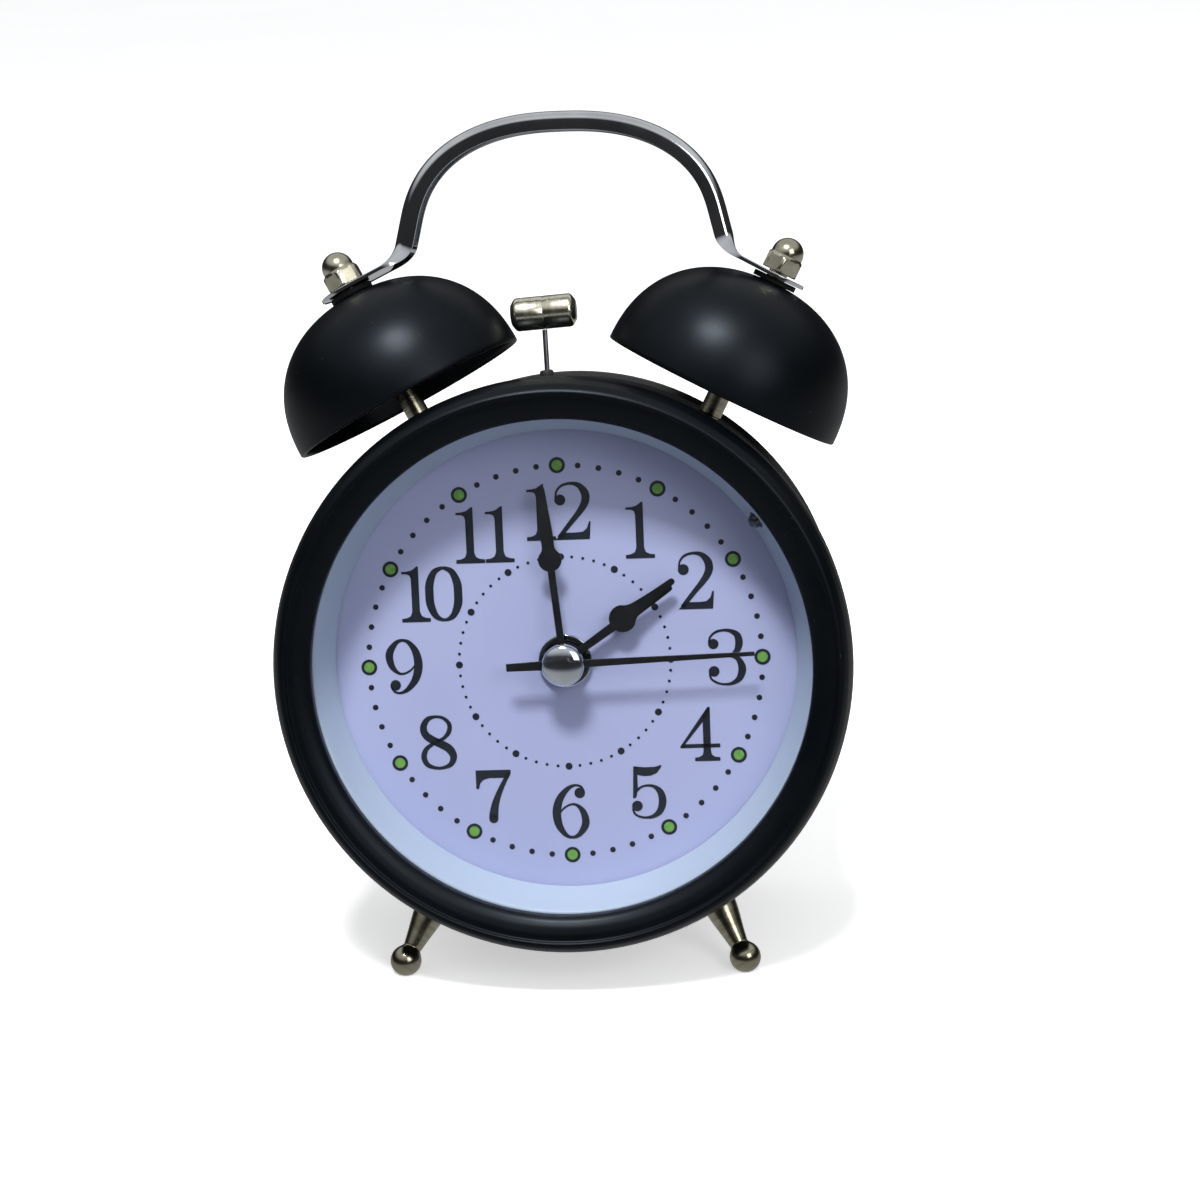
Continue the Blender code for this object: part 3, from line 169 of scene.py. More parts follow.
def turn_y(angle):
    return Matrix.Rotation(angle, 3, "Y")


def word_for(side):
    return "left" if side < 0 else "right"


def bell_place(side):
    """The pair sits a little to the right of the dial's centre, and the left one tips back."""
    tip = Matrix.Rotation(-LEFT_BELL_TIP if side < 0 else 0.0, 3, "X")
    return place(side * BELL_X + BELL_SHIFT, BELL_Y, BELL_Z, turn_y(side * BELL_LEAN) @ tip)


def leg_axis(side):
    down = Vector((side * sin(LEG_LEAN), 0.0, -cos(LEG_LEAN)))
    down.y = -tan(LEG_SPLAY)
    return down.normalized()


def leg_place(side):
    turn = leg_axis(side).to_track_quat("Z", "Y").to_matrix()
    return place(side * FOOT_X, FOOT_Y, FOOT_Z, turn)


# ---------------- shapes

def circle(radius, steps, centre=(0.0, 0.0)):
    turns = [2 * pi * k / steps for k in range(steps)]
    return [(centre[0] + radius * cos(a), centre[1] + radius * sin(a)) for a in turns]


def quarter(steps):
    return [pi / 2 * k / steps for k in range(steps + 1)]


def arc(centre, radius, start, end, steps):
    """Points of an arc, its angles in degrees from +X."""
    turns = [radians(start + (end - start) * k / steps) for k in range(steps + 1)]
    return [(centre[0] + radius * cos(a), centre[1] + radius * sin(a)) for a in turns]


def bend(start, corner, end, t):
    """The point at t on the curve that leaves start and reaches end along the corner's sides."""
    return start * (1 - t) ** 2 + corner * 2 * t * (1 - t) + end * t ** 2


def softened(points, radius, steps=4, closed=True, keep=()):
    """The outline with each corner rounded, apart from the ones in keep and those on the axis."""
    found = []
    count = len(points)
    for k, here in enumerate(points):
        if k in keep or here[0] == 0.0 or (not closed and k in (0, count - 1)):
            found.append(here)
            continue
        corner = Vector(here)
        before = Vector(points[k - 1]) - corner
        after = Vector(points[(k + 1) % count]) - corner
        reach = min(radius, before.length * 0.48, after.length * 0.48)
        start = corner + before.normalized() * reach
        end = corner + after.normalized() * reach
        for step in range(steps + 1):
            found.append(tuple(bend(start, corner, end, step / steps)))
    return found


def rounded_box(x, z, half_x, half_z, radius, steps=5):
    low_x, high_x, low_z, high_z = x - half_x, x + half_x, z - half_z, z + half_z
    return softened([(low_x, low_z), (high_x, low_z), (high_x, high_z), (low_x, high_z)], radius, steps)


def smooth_line(points, steps=8):
    """Extra points on a smooth curve through points of any number of values."""
    rows = [Vector(p) for p in points]
    found = []
    for k in range(len(rows) - 1):
        p0, p1, p2 = rows[max(k - 1, 0)], rows[k], rows[k + 1]
        p3 = rows[min(k + 2, len(rows) - 1)]
        for step in range(steps):
            t = step / steps
            found.append(0.5 * (
                2 * p1 + (p2 - p0) * t + (2 * p0 - 5 * p1 + 4 * p2 - p3) * t ** 2
                + (3 * p1 - p0 - 3 * p2 + p3) * t ** 3
            ))
    return found + [rows[-1]]


def turned(profile, steps=ROUND):
    """A closed (radius, height) profile turned round the local Z axis."""
    verts, faces, rings = [], [], []
    for radius, height in profile:
        if radius < 1e-6:
            rings.append([len(verts)] * steps)
            verts.append((0.0, 0.0, height))
            continue
        rings.append(list(range(len(verts), len(verts) + steps)))
        verts += [(x, y, height) for x, y in circle(radius, steps)]
    for this, following in zip(rings, rings[1:] + rings[:1]):
        for k in range(steps):
            corners = list(dict.fromkeys([this[k], this[k - 1], following[k - 1], following[k]]))
            if len(corners) > 2:
                faces.append(corners)
    return verts, faces


def along_case(shape):
    """A shape made round Z, laid round the case axis with its height counted back along Y."""
    verts, faces = shape
    return [(x, z, -y) for x, y, z in verts], faces


def case_turned(profile, radius=0.3, steps=3, around=ROUND):
    """A (radius, depth) profile with soft corners, turned round the case axis."""
    return along_case(turned(softened(profile, radius, steps), around))


def rod(radius, low, high, steps=32):
    return turned([(0.0, low), (radius, low), (radius, high), (0.0, high)], steps)


def lofted(rings, tip=None):
    """A skin over rings of as many points each, closed at both ends or drawn to a tip."""
    count = len(rings[0])
    verts = [point for ring in rings for point in ring]
    last = len(verts) - count
    faces = [list(range(count))]
    for low in range(0, last, count):
        for k in range(count):
            after = (k + 1) % count
            faces.append([low + k, low + after, low + count + after, low + count + k])
    if tip:
        verts.append(tip)
        faces += [[last + k, last + (k + 1) % count, last + count] for k in range(count)]
    else:
        faces.append(list(range(last, last + count)))
    return verts, faces


def prism(outline, front, back, bore=None):
    """A flat (x, z) outline, with an optional hole, made solid from front to back along Y."""
    loops = [outline] + ([bore] if bore else [])
    verts, faces, index = [], [], []
    for loop in loops:
        start = len(verts)
        size = len(loop)
        verts += [(x, y, z) for y in (front, back) for x, z in loop]
        index += range(start, start + size)
        for k in range(size):
            j = (k + 1) % size
            faces.append([start + k, start + j, start + size + j, start + size + k])
    sheet = tessellate_polygon([[Vector((x, z, 0.0)) for x, z in loop] for loop in loops])
    sizes = [len(loop) for loop in loops for _ in loop]
    faces += [[index[i] for i in face] for face in sheet]
    faces += [[index[i] + sizes[i] for i in face] for face in sheet]
    return verts, faces


def joined(*shapes):
    verts, faces = [], []
    for more_verts, more_faces in shapes:
        start = len(verts)
        verts += more_verts
        faces += [[start + i for i in face] for face in more_faces]
    return verts, faces


def moved(shape, dx, dy=0.0, dz=0.0):
    verts, faces = shape
    return [(x + dx, y + dy, z + dz) for x, y, z in verts], faces


def new_object(name, data):
    made = bpy.data.objects.new(name, data)
    bpy.context.scene.collection.objects.link(made)
    return made


def mesh_object(name, shape, finish, where=Matrix(), sharp=38):
    """An object from a shape in millimetres, with outward faces and smooth shading."""
    verts, faces = shape
    build = bmesh.new()
    points = [build.verts.new(Vector(v) * MM) for v in verts]
    for face in faces:
        if len(set(face)) > 2:
            build.faces.new([points[i] for i in face])
    bmesh.ops.recalc_face_normals(build, faces=build.faces)
    mesh = bpy.data.meshes.new(name)
    build.to_mesh(mesh)
    build.free()
    mesh.shade_smooth()
    mesh.set_sharp_from_angle(angle=radians(sharp))
    mesh.materials.append(finish)
    made = new_object(name, mesh)
    made.matrix_world = CLOCK @ where
    return made


def carve(target, shape, where=Matrix(), operation="DIFFERENCE", sharp=38):
    """Cuts a shape from the target's mesh for good, or joins it on."""
    tool = mesh_object("carving_tool", shape, target.data.materials[0], where)
    modifier = target.modifiers.new("carve", "BOOLEAN")
    modifier.operation = operation
    modifier.solver = "EXACT"
    modifier.object = tool
    bpy.context.view_layer.update()
    graph = bpy.context.evaluated_depsgraph_get()
    shaped = bpy.data.meshes.new_from_object(target.evaluated_get(graph))
    target.modifiers.clear()
    target.data = shaped
    shaped.shade_smooth()
    shaped.set_sharp_from_angle(angle=radians(sharp))
    bpy.data.objects.remove(tool, do_unlink=True)


def bevelled(piece, width):
    modifier = piece.modifiers.new("soft_edges", "BEVEL")
    modifier.width = width * MM
    modifier.segments = 2
    modifier.limit_method = "ANGLE"
    modifier.angle_limit = radians(40)
    modifier.harden_normals = True
    return piece


def settle(piece):
    """Moves the piece's place into its mesh. Its drawn coordinates stay as an attribute, for grain."""
    mesh = piece.data
    drawn = mesh.attributes.new("drawn", "FLOAT_VECTOR", "POINT")
    drawn.data.foreach_set("vector", [value for vert in mesh.vertices for value in vert.co])
    mesh.transform(piece.matrix_world)
    piece.matrix_world = Matrix()


def show(piece, body, slot, *nodes):
    """The piece rides on a body and stands for its CAD nodes, which it hides. The slot is not used."""
    settle(piece)
    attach(piece, body)
    if nodes:
        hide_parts(*nodes)


def add_piece(name, shape, slot, body, *nodes, where=Matrix(), finish=None, sharp=38):
    """A piece that needs no carving, in its slot's finish unless it has its own."""
    show(mesh_object(name, shape, finish or MATERIALS[slot], where, sharp), body, slot, *nodes)


# ---------------- materials

def linear(red, green, blue):
    """A linear colour from 0 to 255 display values."""
    return tuple(((v / 255 + 0.055) / 1.055) ** 2.4 if v > 10 else v / 255 / 12.92
                 for v in (red, green, blue)) + (1.0,)


def add_node(nodes, kind, **sockets):
    """A new shader node, its input sockets set by name."""
    node = nodes.new("ShaderNode" + kind)
    for name, value in sockets.items():
        node.inputs[name.replace("_", " ")].default_value = value
    return node


class Finish:
    """A node material: two colours mottled together, uneven roughness, and fine relief."""

    def __init__(self, name, dark, light, rough, metallic=0.0, mottle=90.0, stretch=(1, 1, 1)):
        self.material = bpy.data.materials.new(name)
        self.material.use_nodes = True
        self.nodes = self.material.node_tree.nodes
        self.links = self.material.node_tree.links
        self.shader = self.nodes["Principled BSDF"]
        self.set(Metallic=metallic)
        self.mapping = add_node(self.nodes, "Mapping", Scale=stretch)
        if stretch == (1, 1, 1):
            drawn = add_node(self.nodes, "TexCoord").outputs["Object"]
        else:
            grain = add_node(self.nodes, "Attribute")
            grain.attribute_name = "drawn"
            drawn = grain.outputs["Vector"]
        self.links.new(drawn, self.mapping.inputs["Vector"])
        self.relief = None
        self.colour = self.blend(linear(*dark), linear(*light), self.noise(mottle, 3.0))
        self.links.new(self.colour, self.shader.inputs["Base Color"])
        cloud = self.noise(mottle * 2.3, 4.0)
        self.links.new(self.ranged(cloud, *rough), self.shader.inputs["Roughness"])

    def texture(self, kind, **sockets):
        node = add_node(self.nodes, kind, **sockets)
        self.links.new(self.mapping.outputs["Vector"], node.inputs["Vector"])
        return node

    def noise(self, scale, detail=2.0):
        return self.texture("TexNoise", Scale=scale, Detail=detail).outputs["Fac"]

    def bands(self, scale, axis, distortion):
        node = self.texture("TexWave", Scale=scale, Distortion=distortion)
        node.bands_direction = axis
        return node.outputs["Fac"]

    def cells(self, scale):
        return self.texture("TexVoronoi", Scale=scale).outputs["Distance"]

    def blend(self, dark, light, factor):
        node = add_node(self.nodes, "ValToRGB")
        for element, position, colour in zip(node.color_ramp.elements, (0.32, 0.68), (dark, light)):
            element.position = position
            element.color = colour
        self.links.new(factor, node.inputs["Fac"])
        return node.outputs["Color"]

    def ranged(self, factor, low, high, start=0.25, end=0.75):
        node = add_node(self.nodes, "MapRange", From_Min=start, From_Max=end, To_Min=low, To_Max=high)
        self.links.new(factor, node.inputs["Value"])
        return node.outputs["Result"]

    def bump(self, factor, height):
        """Relief of that height in millimetres, on top of any relief made before."""
        node = add_node(self.nodes, "Bump", Distance=height * MM, Strength=1.0)
        self.links.new(factor, node.inputs["Height"])
        if self.relief:
            self.links.new(self.relief, node.inputs["Normal"])
        self.relief = node.outputs["Normal"]
        self.links.new(self.relief, self.shader.inputs["Normal"])

    def specks(self, colour, scale, amount):
        """Small scattered specks, such as dust, over the colour."""
        mask = self.ranged(self.cells(scale), 1.0, 0.0, amount * 0.6, amount)
        node = self.nodes.new("ShaderNodeMix")
        node.data_type = "RGBA"
        node.inputs["B"].default_value = linear(*colour)
        self.links.new(mask, node.inputs["Factor"])
        self.links.new(self.colour, node.inputs["A"])
        self.colour = node.outputs["Result"]
        self.links.new(self.colour, self.shader.inputs["Base Color"])

    def set(self, **sockets):
        for name, value in sockets.items():
            self.shader.inputs[name.replace("_", " ")].default_value = value


def finished(name, dark, light, rough, metallic=0.0, mottle=90.0, grain=(), specks=None,
             stretch=(1, 1, 1), **sockets):
    """A material with rows of (scale, detail, height) for its relief, and a row of specks."""
    finish = Finish(name, dark, light, rough, metallic, mottle, stretch)
    for scale, detail, height in grain:
        finish.bump(finish.noise(scale, detail), height)
    if specks:
        finish.specks(*specks)
    finish.set(**sockets)
    return finish.material


def nickel_plate(name, stretch=(1, 1, 1), painted_lift=0):
    """Warm nickel. Lift, in 8-bit steps, is painted light above zero and painted shade below it: the same
    plate as the nuts', drawn brighter where its reflections are bright and darker where they are dark.
    """
    dark, light = (tuple(tone + painted_lift for tone in tones) for tones in ((172, 168, 148), (200, 196, 177)))
    return finished(name, dark, light, (0.15, 0.26), 1.0, 260.0, [(2400.0, 3.0, 0.0015)], stretch=stretch)


def moulded_black(name, texture, height):
    return finished(
        name, (26, 27, 29), (33, 34, 36), (0.44, 0.56), mottle=70.0, grain=[(texture, 3.0, height)],
        specks=((52, 53, 55), 420.0, 0.04),
    )


def copper_winding(name):
    wire = Finish(name, (150, 78, 44), (190, 108, 62), (0.24, 0.36), 1.0, 700.0)
    wire.bump(wire.bands(2600.0, "X", 1.5), 0.03)
    return wire.material


def board_green(name):
    board = Finish(name, (24, 92, 44), (32, 112, 54), (0.24, 0.34))
    board.bump(board.cells(420.0), 0.01)
    board.specks((190, 186, 170), 260.0, 0.16)
    return board.material


def clear_glass(name):
    """Flat glass: clear through, with a mirror's share that grows at grazing angles."""
    made = bpy.data.materials.new(name)
    made.use_nodes = True
    nodes, links = made.node_tree.nodes, made.node_tree.links
    nodes.clear()
    where = add_node(nodes, "TexCoord")
    smudge = add_node(nodes, "TexNoise", Scale=70.0, Detail=4.0)
    uneven = add_node(nodes, "MapRange", To_Min=0.0, To_Max=0.06)
    mirror = add_node(nodes, "BsdfGlossy", Color=(0.9, 0.93, 0.96, 1.0))
    clear = add_node(nodes, "BsdfTransparent", Color=(0.985, 0.99, 0.995, 1.0))
    side = add_node(nodes, "NewGeometry")
    index = add_node(nodes, "MapRange", To_Min=GLASS_INDEX, To_Max=1 / GLASS_INDEX)
    edge = add_node(nodes, "Fresnel")
    mix = add_node(nodes, "MixShader")
    output = add_node(nodes, "OutputMaterial")
    for source, target in (
        (where.outputs["Object"], smudge.inputs["Vector"]),
        (smudge.outputs["Fac"], uneven.inputs["Value"]),
        (uneven.outputs["Result"], mirror.inputs["Roughness"]),
        (side.outputs["Backfacing"], index.inputs["Value"]),
        (index.outputs["Result"], edge.inputs["IOR"]),
        (edge.outputs["Fac"], mix.inputs["Fac"]),
        (clear.outputs["BSDF"], mix.inputs[1]),
        (mirror.outputs["BSDF"], mix.inputs[2]),
        (mix.outputs["Shader"], output.inputs["Surface"]),
    ):
        links.new(source, target)
    return made


BRUSHED = (0.35, 0.35, 5.0)
MATERIALS = {
    "black_paint": finished(
        "satin_black_paint", (3, 5, 8), (6, 8, 11), (0.34, 0.42), mottle=60.0,
        grain=[(520.0, 2.0, 0.010), (4200.0, 2.0, 0.0022)], specks=((52, 54, 56), 330.0, 0.04),
        Specular_IOR_Level=0.17, Specular_Tint=(0.76, 0.87, 1.0, 1.0),
    ),
    "black_plastic": moulded_black("moulded_black_plastic", 2600.0, 0.006),
    "clear_glass": clear_glass("clear_flat_glass"),
    "ring_plastic": finished(
        "pale_ring_plastic", (170, 185, 204), (177, 191, 209), (0.36, 0.46), mottle=30.0,
        grain=[(900.0, 2.0, 0.004)],
    ),
    "dial_card": finished(
        "lavender_dial_card", (176, 182, 222), (183, 189, 227), (0.42, 0.52), mottle=26.0,
        grain=[(2600.0, 3.0, 0.003)], specks=((158, 164, 206), 900.0, 0.05),
    ),
    "lamp_lens": finished(
        "smoked_lamp_lens", (12, 13, 20), (44, 50, 66), (0.05, 0.12), mottle=900.0,
        grain=[(700.0, 2.0, 0.03)], Coat_Weight=0.6, Coat_Roughness=0.04,
    ),
    "washer_rubber": finished(
        "black_washer_rubber", (20, 20, 21), (28, 28, 29), (0.68, 0.82), mottle=300.0,
        grain=[(3000.0, 3.0, 0.008)],
    ),
    "nickel": nickel_plate("warm_nickel_plate"),
    "chrome": finished(
        "bright_chrome_plate", (196, 199, 204), (224, 226, 229), (0.05, 0.13), 1.0, 120.0,
        grain=[(380.0, 2.0, 0.0025), (3600.0, 2.0, 0.0006)],
    ),
    "steel": finished(
        "zinc_plated_steel", (140, 142, 146), (176, 178, 182), (0.24, 0.4), 1.0, 300.0,
        grain=[(2600.0, 3.0, 0.002)],
    ),
    "hand_enamel": finished(
        "black_hand_enamel", (14, 15, 18), (22, 23, 27), (0.3, 0.42), mottle=240.0,
        grain=[(1500.0, 2.0, 0.002)],
    ),
    "gear_plastic": finished(
        "natural_gear_plastic", (214, 207, 186), (226, 220, 202), (0.34, 0.46), mottle=240.0,
        grain=[(1600.0, 2.0, 0.004)],
    ),
    "copper": copper_winding("enamelled_copper_winding"),
    "board": board_green("green_circuit_board"),
    "magnet": finished(
        "dark_sintered_magnet", (58, 58, 61), (74, 74, 78), (0.4, 0.55), 0.6, 900.0,
        grain=[(4200.0, 4.0, 0.005)],
    ),
    "tin": finished(
        "tinned_contact_steel", (180, 182, 184), (206, 208, 210), (0.2, 0.32), 1.0, 260.0,
        grain=[(2200.0, 3.0, 0.002)],
    ),
    "cell_jacket": finished(
        "green_cell_jacket", (30, 88, 52), (38, 100, 60), (0.24, 0.34), 0.2, 60.0,
        grain=[(700.0, 2.0, 0.006)],
    ),
    "switch_red": finished(
        "red_switch_plastic", (168, 26, 24), (186, 34, 30), (0.28, 0.38), mottle=200.0,
        grain=[(1800.0, 2.0, 0.003)],
    ),
}
# Painted shade: the nuts' nickel drawn darker on the bell posts and legs, standing in for their dark
# reflections.
SHADED_TURNED_NICKEL = nickel_plate("turned_nickel_plate_painted_shade", BRUSHED, -30)
# Painted light: the nuts' nickel drawn brighter on the hammer head, standing in for its bright reflection.
LIT_TURNED_HEAD = nickel_plate("turned_head_plate_painted_light", BRUSHED, 34)
INK = finished(
    "dial_printing_ink", (18, 24, 36), (27, 33, 45), (0.38, 0.5), mottle=500.0,
    grain=[(2600.0, 3.0, 0.003)],
)
GLOW = finished(
    "green_dot_paint", (96, 150, 62), (122, 178, 84), (0.5, 0.62), mottle=1400.0,
    grain=[(5200.0, 2.0, 0.004)],
)
KNOB_PLASTIC = moulded_black("smooth_black_plastic", 1500.0, 0.003)


# ---------------- case

def build_bezel():
    profile = [
        (42.9, 9.0), (43.8, 9.0), (BEZEL_R, 8.7), (BEZEL_R, 5.2), (43.7, 3.0), (43.1, 1.3), (42.4, 0.3),
        (41.9, 0.0), (41.45, 0.1), (41.3, 0.5), (40.3, 0.58), (39.2, 0.95), (38.3, 1.5), (37.8, 2.1),
        (37.8, 3.9), (40.4, 3.9), (42.0, 3.0), (42.9, 4.5),
    ]
    shape = case_turned(profile)
    add_piece("bezel_shell", shape, "black_paint", "case", "front_bezel", sharp=55)


def build_drum():
    inner = DRUM_R - DRUM_WALL
    profile = [(DRUM_R, DRUM_FRONT_Y), (DRUM_R, DRUM_BACK_Y), (inner, DRUM_BACK_Y), (inner, DRUM_FRONT_Y)]
    drum = mesh_object("drum_shell", case_turned(profile, steps=2), MATERIALS["black_paint"])
    for side in (-1, 1):
        carve(drum, rod(STUD_R + GAP, STUD_FOOT, -1.5), bell_place(side))
        carve(drum, rod(STUD_R + GAP, LEG_TOP - 6.0, LEG_TOP + 6.0), leg_place(side))
    verts, faces = prism(rounded_box(0.0, 0.0, *HAMMER_SLOT, 6), inner - 2.7, DRUM_R + 2.5)
    carve(drum, ([(x, BELL_Y + z, y) for x, y, z in verts], faces))
    show(drum, "case", "black_paint", "case_drum")


def build_lens():
    profile = [(0.0, LENS_BACK_Y), (LENS_R, LENS_BACK_Y), (LENS_R, LENS_Y), (0.0, LENS_Y)]
    add_piece("front_glass", case_turned(profile, 0.25, 2), "clear_glass", "case", "glass_lens")


def lamp_place():
    angle = pi / 2 - LAMP_ANGLE
    return place(LAMP_TIP * cos(angle), LAMP_Y, LAMP_TIP * sin(angle), turn_y(LAMP_ANGLE))


def build_reflector_ring():
    front, back = LENS_BACK_Y + GAP, DIAL_Y - GAP
    profile = [
        (38.0, front), (37.4, front + 1.6), (36.3, back - 1.8), (35.6, back), (36.8, back),
        (38.7, front + 1.2), (LENS_R, front + 1.2), (LENS_R, front),
    ]
    shape = case_turned(profile, 0.35)
    ring = mesh_object("reflector_ring_shell", shape, MATERIALS["ring_plastic"], sharp=50)
    carve(ring, rod(LAMP_R + GAP, -1.0, 8.0, 48), lamp_place(), sharp=50)
    show(ring, "case", "ring_plastic", "reflector_ring")


def build_lamp():
    top = LAMP_FLANGE + 0.7
    nose = [(LAMP_R * sin(a), LAMP_R * (1 - cos(a))) for a in quarter(12)]
    profile = nose + [
        (LAMP_R, LAMP_FLANGE - 0.3), (LAMP_R + 0.35, LAMP_FLANGE), (LAMP_R + 0.35, top), (0.0, top),
    ]
    add_piece("lamp_capsule", turned(profile, 48), "lamp_lens", "case", "dial_lamp", where=lamp_place())


def build_back_cover():
    inner = DRUM_R - DRUM_WALL - GAP
    profile = [
        (0.0, 45.9), (30.6, 45.9), (31.4, COVER_BACK_Y), (40.6, COVER_BACK_Y), (41.8, 46.1),
        (42.9, 45.95), (COVER_R, 45.5), (COVER_R, COVER_Y), (inner, COVER_Y), (inner, 41.0),
        (inner - 1.0, 41.0), (inner - 1.0, 44.6), (inner - 1.5, COVER_Y), (0.0, COVER_Y),
    ]
    cover = mesh_object("back_cover_shell", case_turned(profile, steps=2), MATERIALS["black_plastic"])
    openings = [circle(1.2, 32, knob) for knob in (TIME_KNOB, ALARM_KNOB)]
    openings += [
        circle(BUTTON_R + 0.25, 48, (BUTTON_X, BUTTON_Z)),
        rounded_box(SWITCH_X, SWITCH_Z, 3.6, 1.3, 0.35),
        rounded_box(0.0, DOOR_Z, DOOR_HALF_X + GAP, DOOR_HALF_Z + GAP, 0.6),
    ]
    for opening in openings:
        carve(cover, prism(opening, COVER_Y - 1.0, COVER_BACK_Y + 1.0))
    show(cover, "case", "black_plastic", "back_cover")


# ---------------- dial

def stroke(points):
    """A brush stroke along a smooth curve through (x, z, half width) points, as cross pairs."""
    line = smooth_line(points)
    pairs = []
    for k, here in enumerate(line):
        ahead = line[min(k + 1, len(line) - 1)] - line[max(k - 1, 0)]
        across = Vector((-ahead.y, ahead.x)).normalized() * here.z
        pairs.append(((here.x + across.x, here.y + across.y), (here.x - across.x, here.y - across.y)))
    return pairs


def ribbon(pairs, front, back):
    """A stroke made solid from front to back along Y."""
    verts, faces = [], []
    for left, right in pairs:
        verts += [(x, y, z) for y in (front, back) for x, z in (left, right)]
    last = len(pairs) - 1
    for k in range(last):
        a, b = 4 * k, 4 * k + 4
        faces += [[a, a + 1, b + 1, b], [a + 3, a + 2, b + 2, b + 3]]
        faces += [[a + 1, a + 3, b + 3, b + 1], [a + 2, a, b, b + 2]]
    faces += [[0, 2, 3, 1], [4 * last, 4 * last + 1, 4 * last + 3, 4 * last + 2]]
    return verts, faces


# Each digit is 100 units tall on a baseline at 0, with brush strokes (x, z, half width), balls
# (x, z, radius) and plain outlines. The last number is its width.
ONE_OUTLINE = [
    (0, 0), (52, 0), (52, 6.5), (43, 7.5), (36, 11), (33, 19), (33, 101), (30, 101), (21, 94),
    (12, 92), (2, 91.5), (2, 87.5), (12, 87), (17, 84.5), (19, 78), (19, 19), (16, 11), (9, 7.5),
    (0, 6.5),
]
TWO_FOOT = [(0, 0), (62, 0), (64.5, 32), (61.5, 32), (57.5, 20), (50, 13.5), (38, 12.5), (14, 12.5)]
FOUR_STEM = [
    (25.8, 0), (71.5, 0), (71.5, 6.5), (62, 7.5), (56.5, 11.5), (55, 19), (55, 99), (52, 99),
    (41.5, 84), (41.5, 19), (40, 11.5), (34, 7.5), (25.8, 6.5),
]
FOUR_SLOPE = [(0, 24.5), (0, 27.5), (51, 99), (55, 99), (55, 88), (41.5, 71.5), (9, 31.5), (9, 24.5)]
FOUR_BAR = [(0, 24.5), (72, 24.5), (72, 31.5), (4, 31.5)]
FIVE_FLAG = [
    (6.5, 97), (27, 94.5), (45, 95), (57.5, 98.5), (57, 94.5), (49, 84), (38, 79), (26, 78.5),
    (13.5, 81),
]
FIVE_BAR = [(6.5, 97), (13.5, 95), (13.5, 58), (11, 41), (8, 38), (4, 38), (5, 58)]
SEVEN_BAR = [
    (0, 98.5), (64, 98.5), (64, 91), (57, 84), (24, 84), (14, 81), (8, 75), (5, 64), (0, 64),
]
SIX_STROKE = [
    (59, 86, 1.8), (53.5, 95.5, 2.0), (42, 98.2, 2.3), (28, 91, 4.4), (14, 73, 6.8), (8, 50, 7.8),
    (11, 26, 6.8), (22, 8, 4.2), (34, 2.2, 2.6), (46, 6, 4.0), (57, 20, 6.4), (60, 33, 6.8),
    (55.5, 50, 5.4), (45, 61.5, 2.7), (34, 63, 1.9), (22, 57, 1.7), (15, 49, 1.4),
]
SIX_BALL = (51, 84, 9.6)
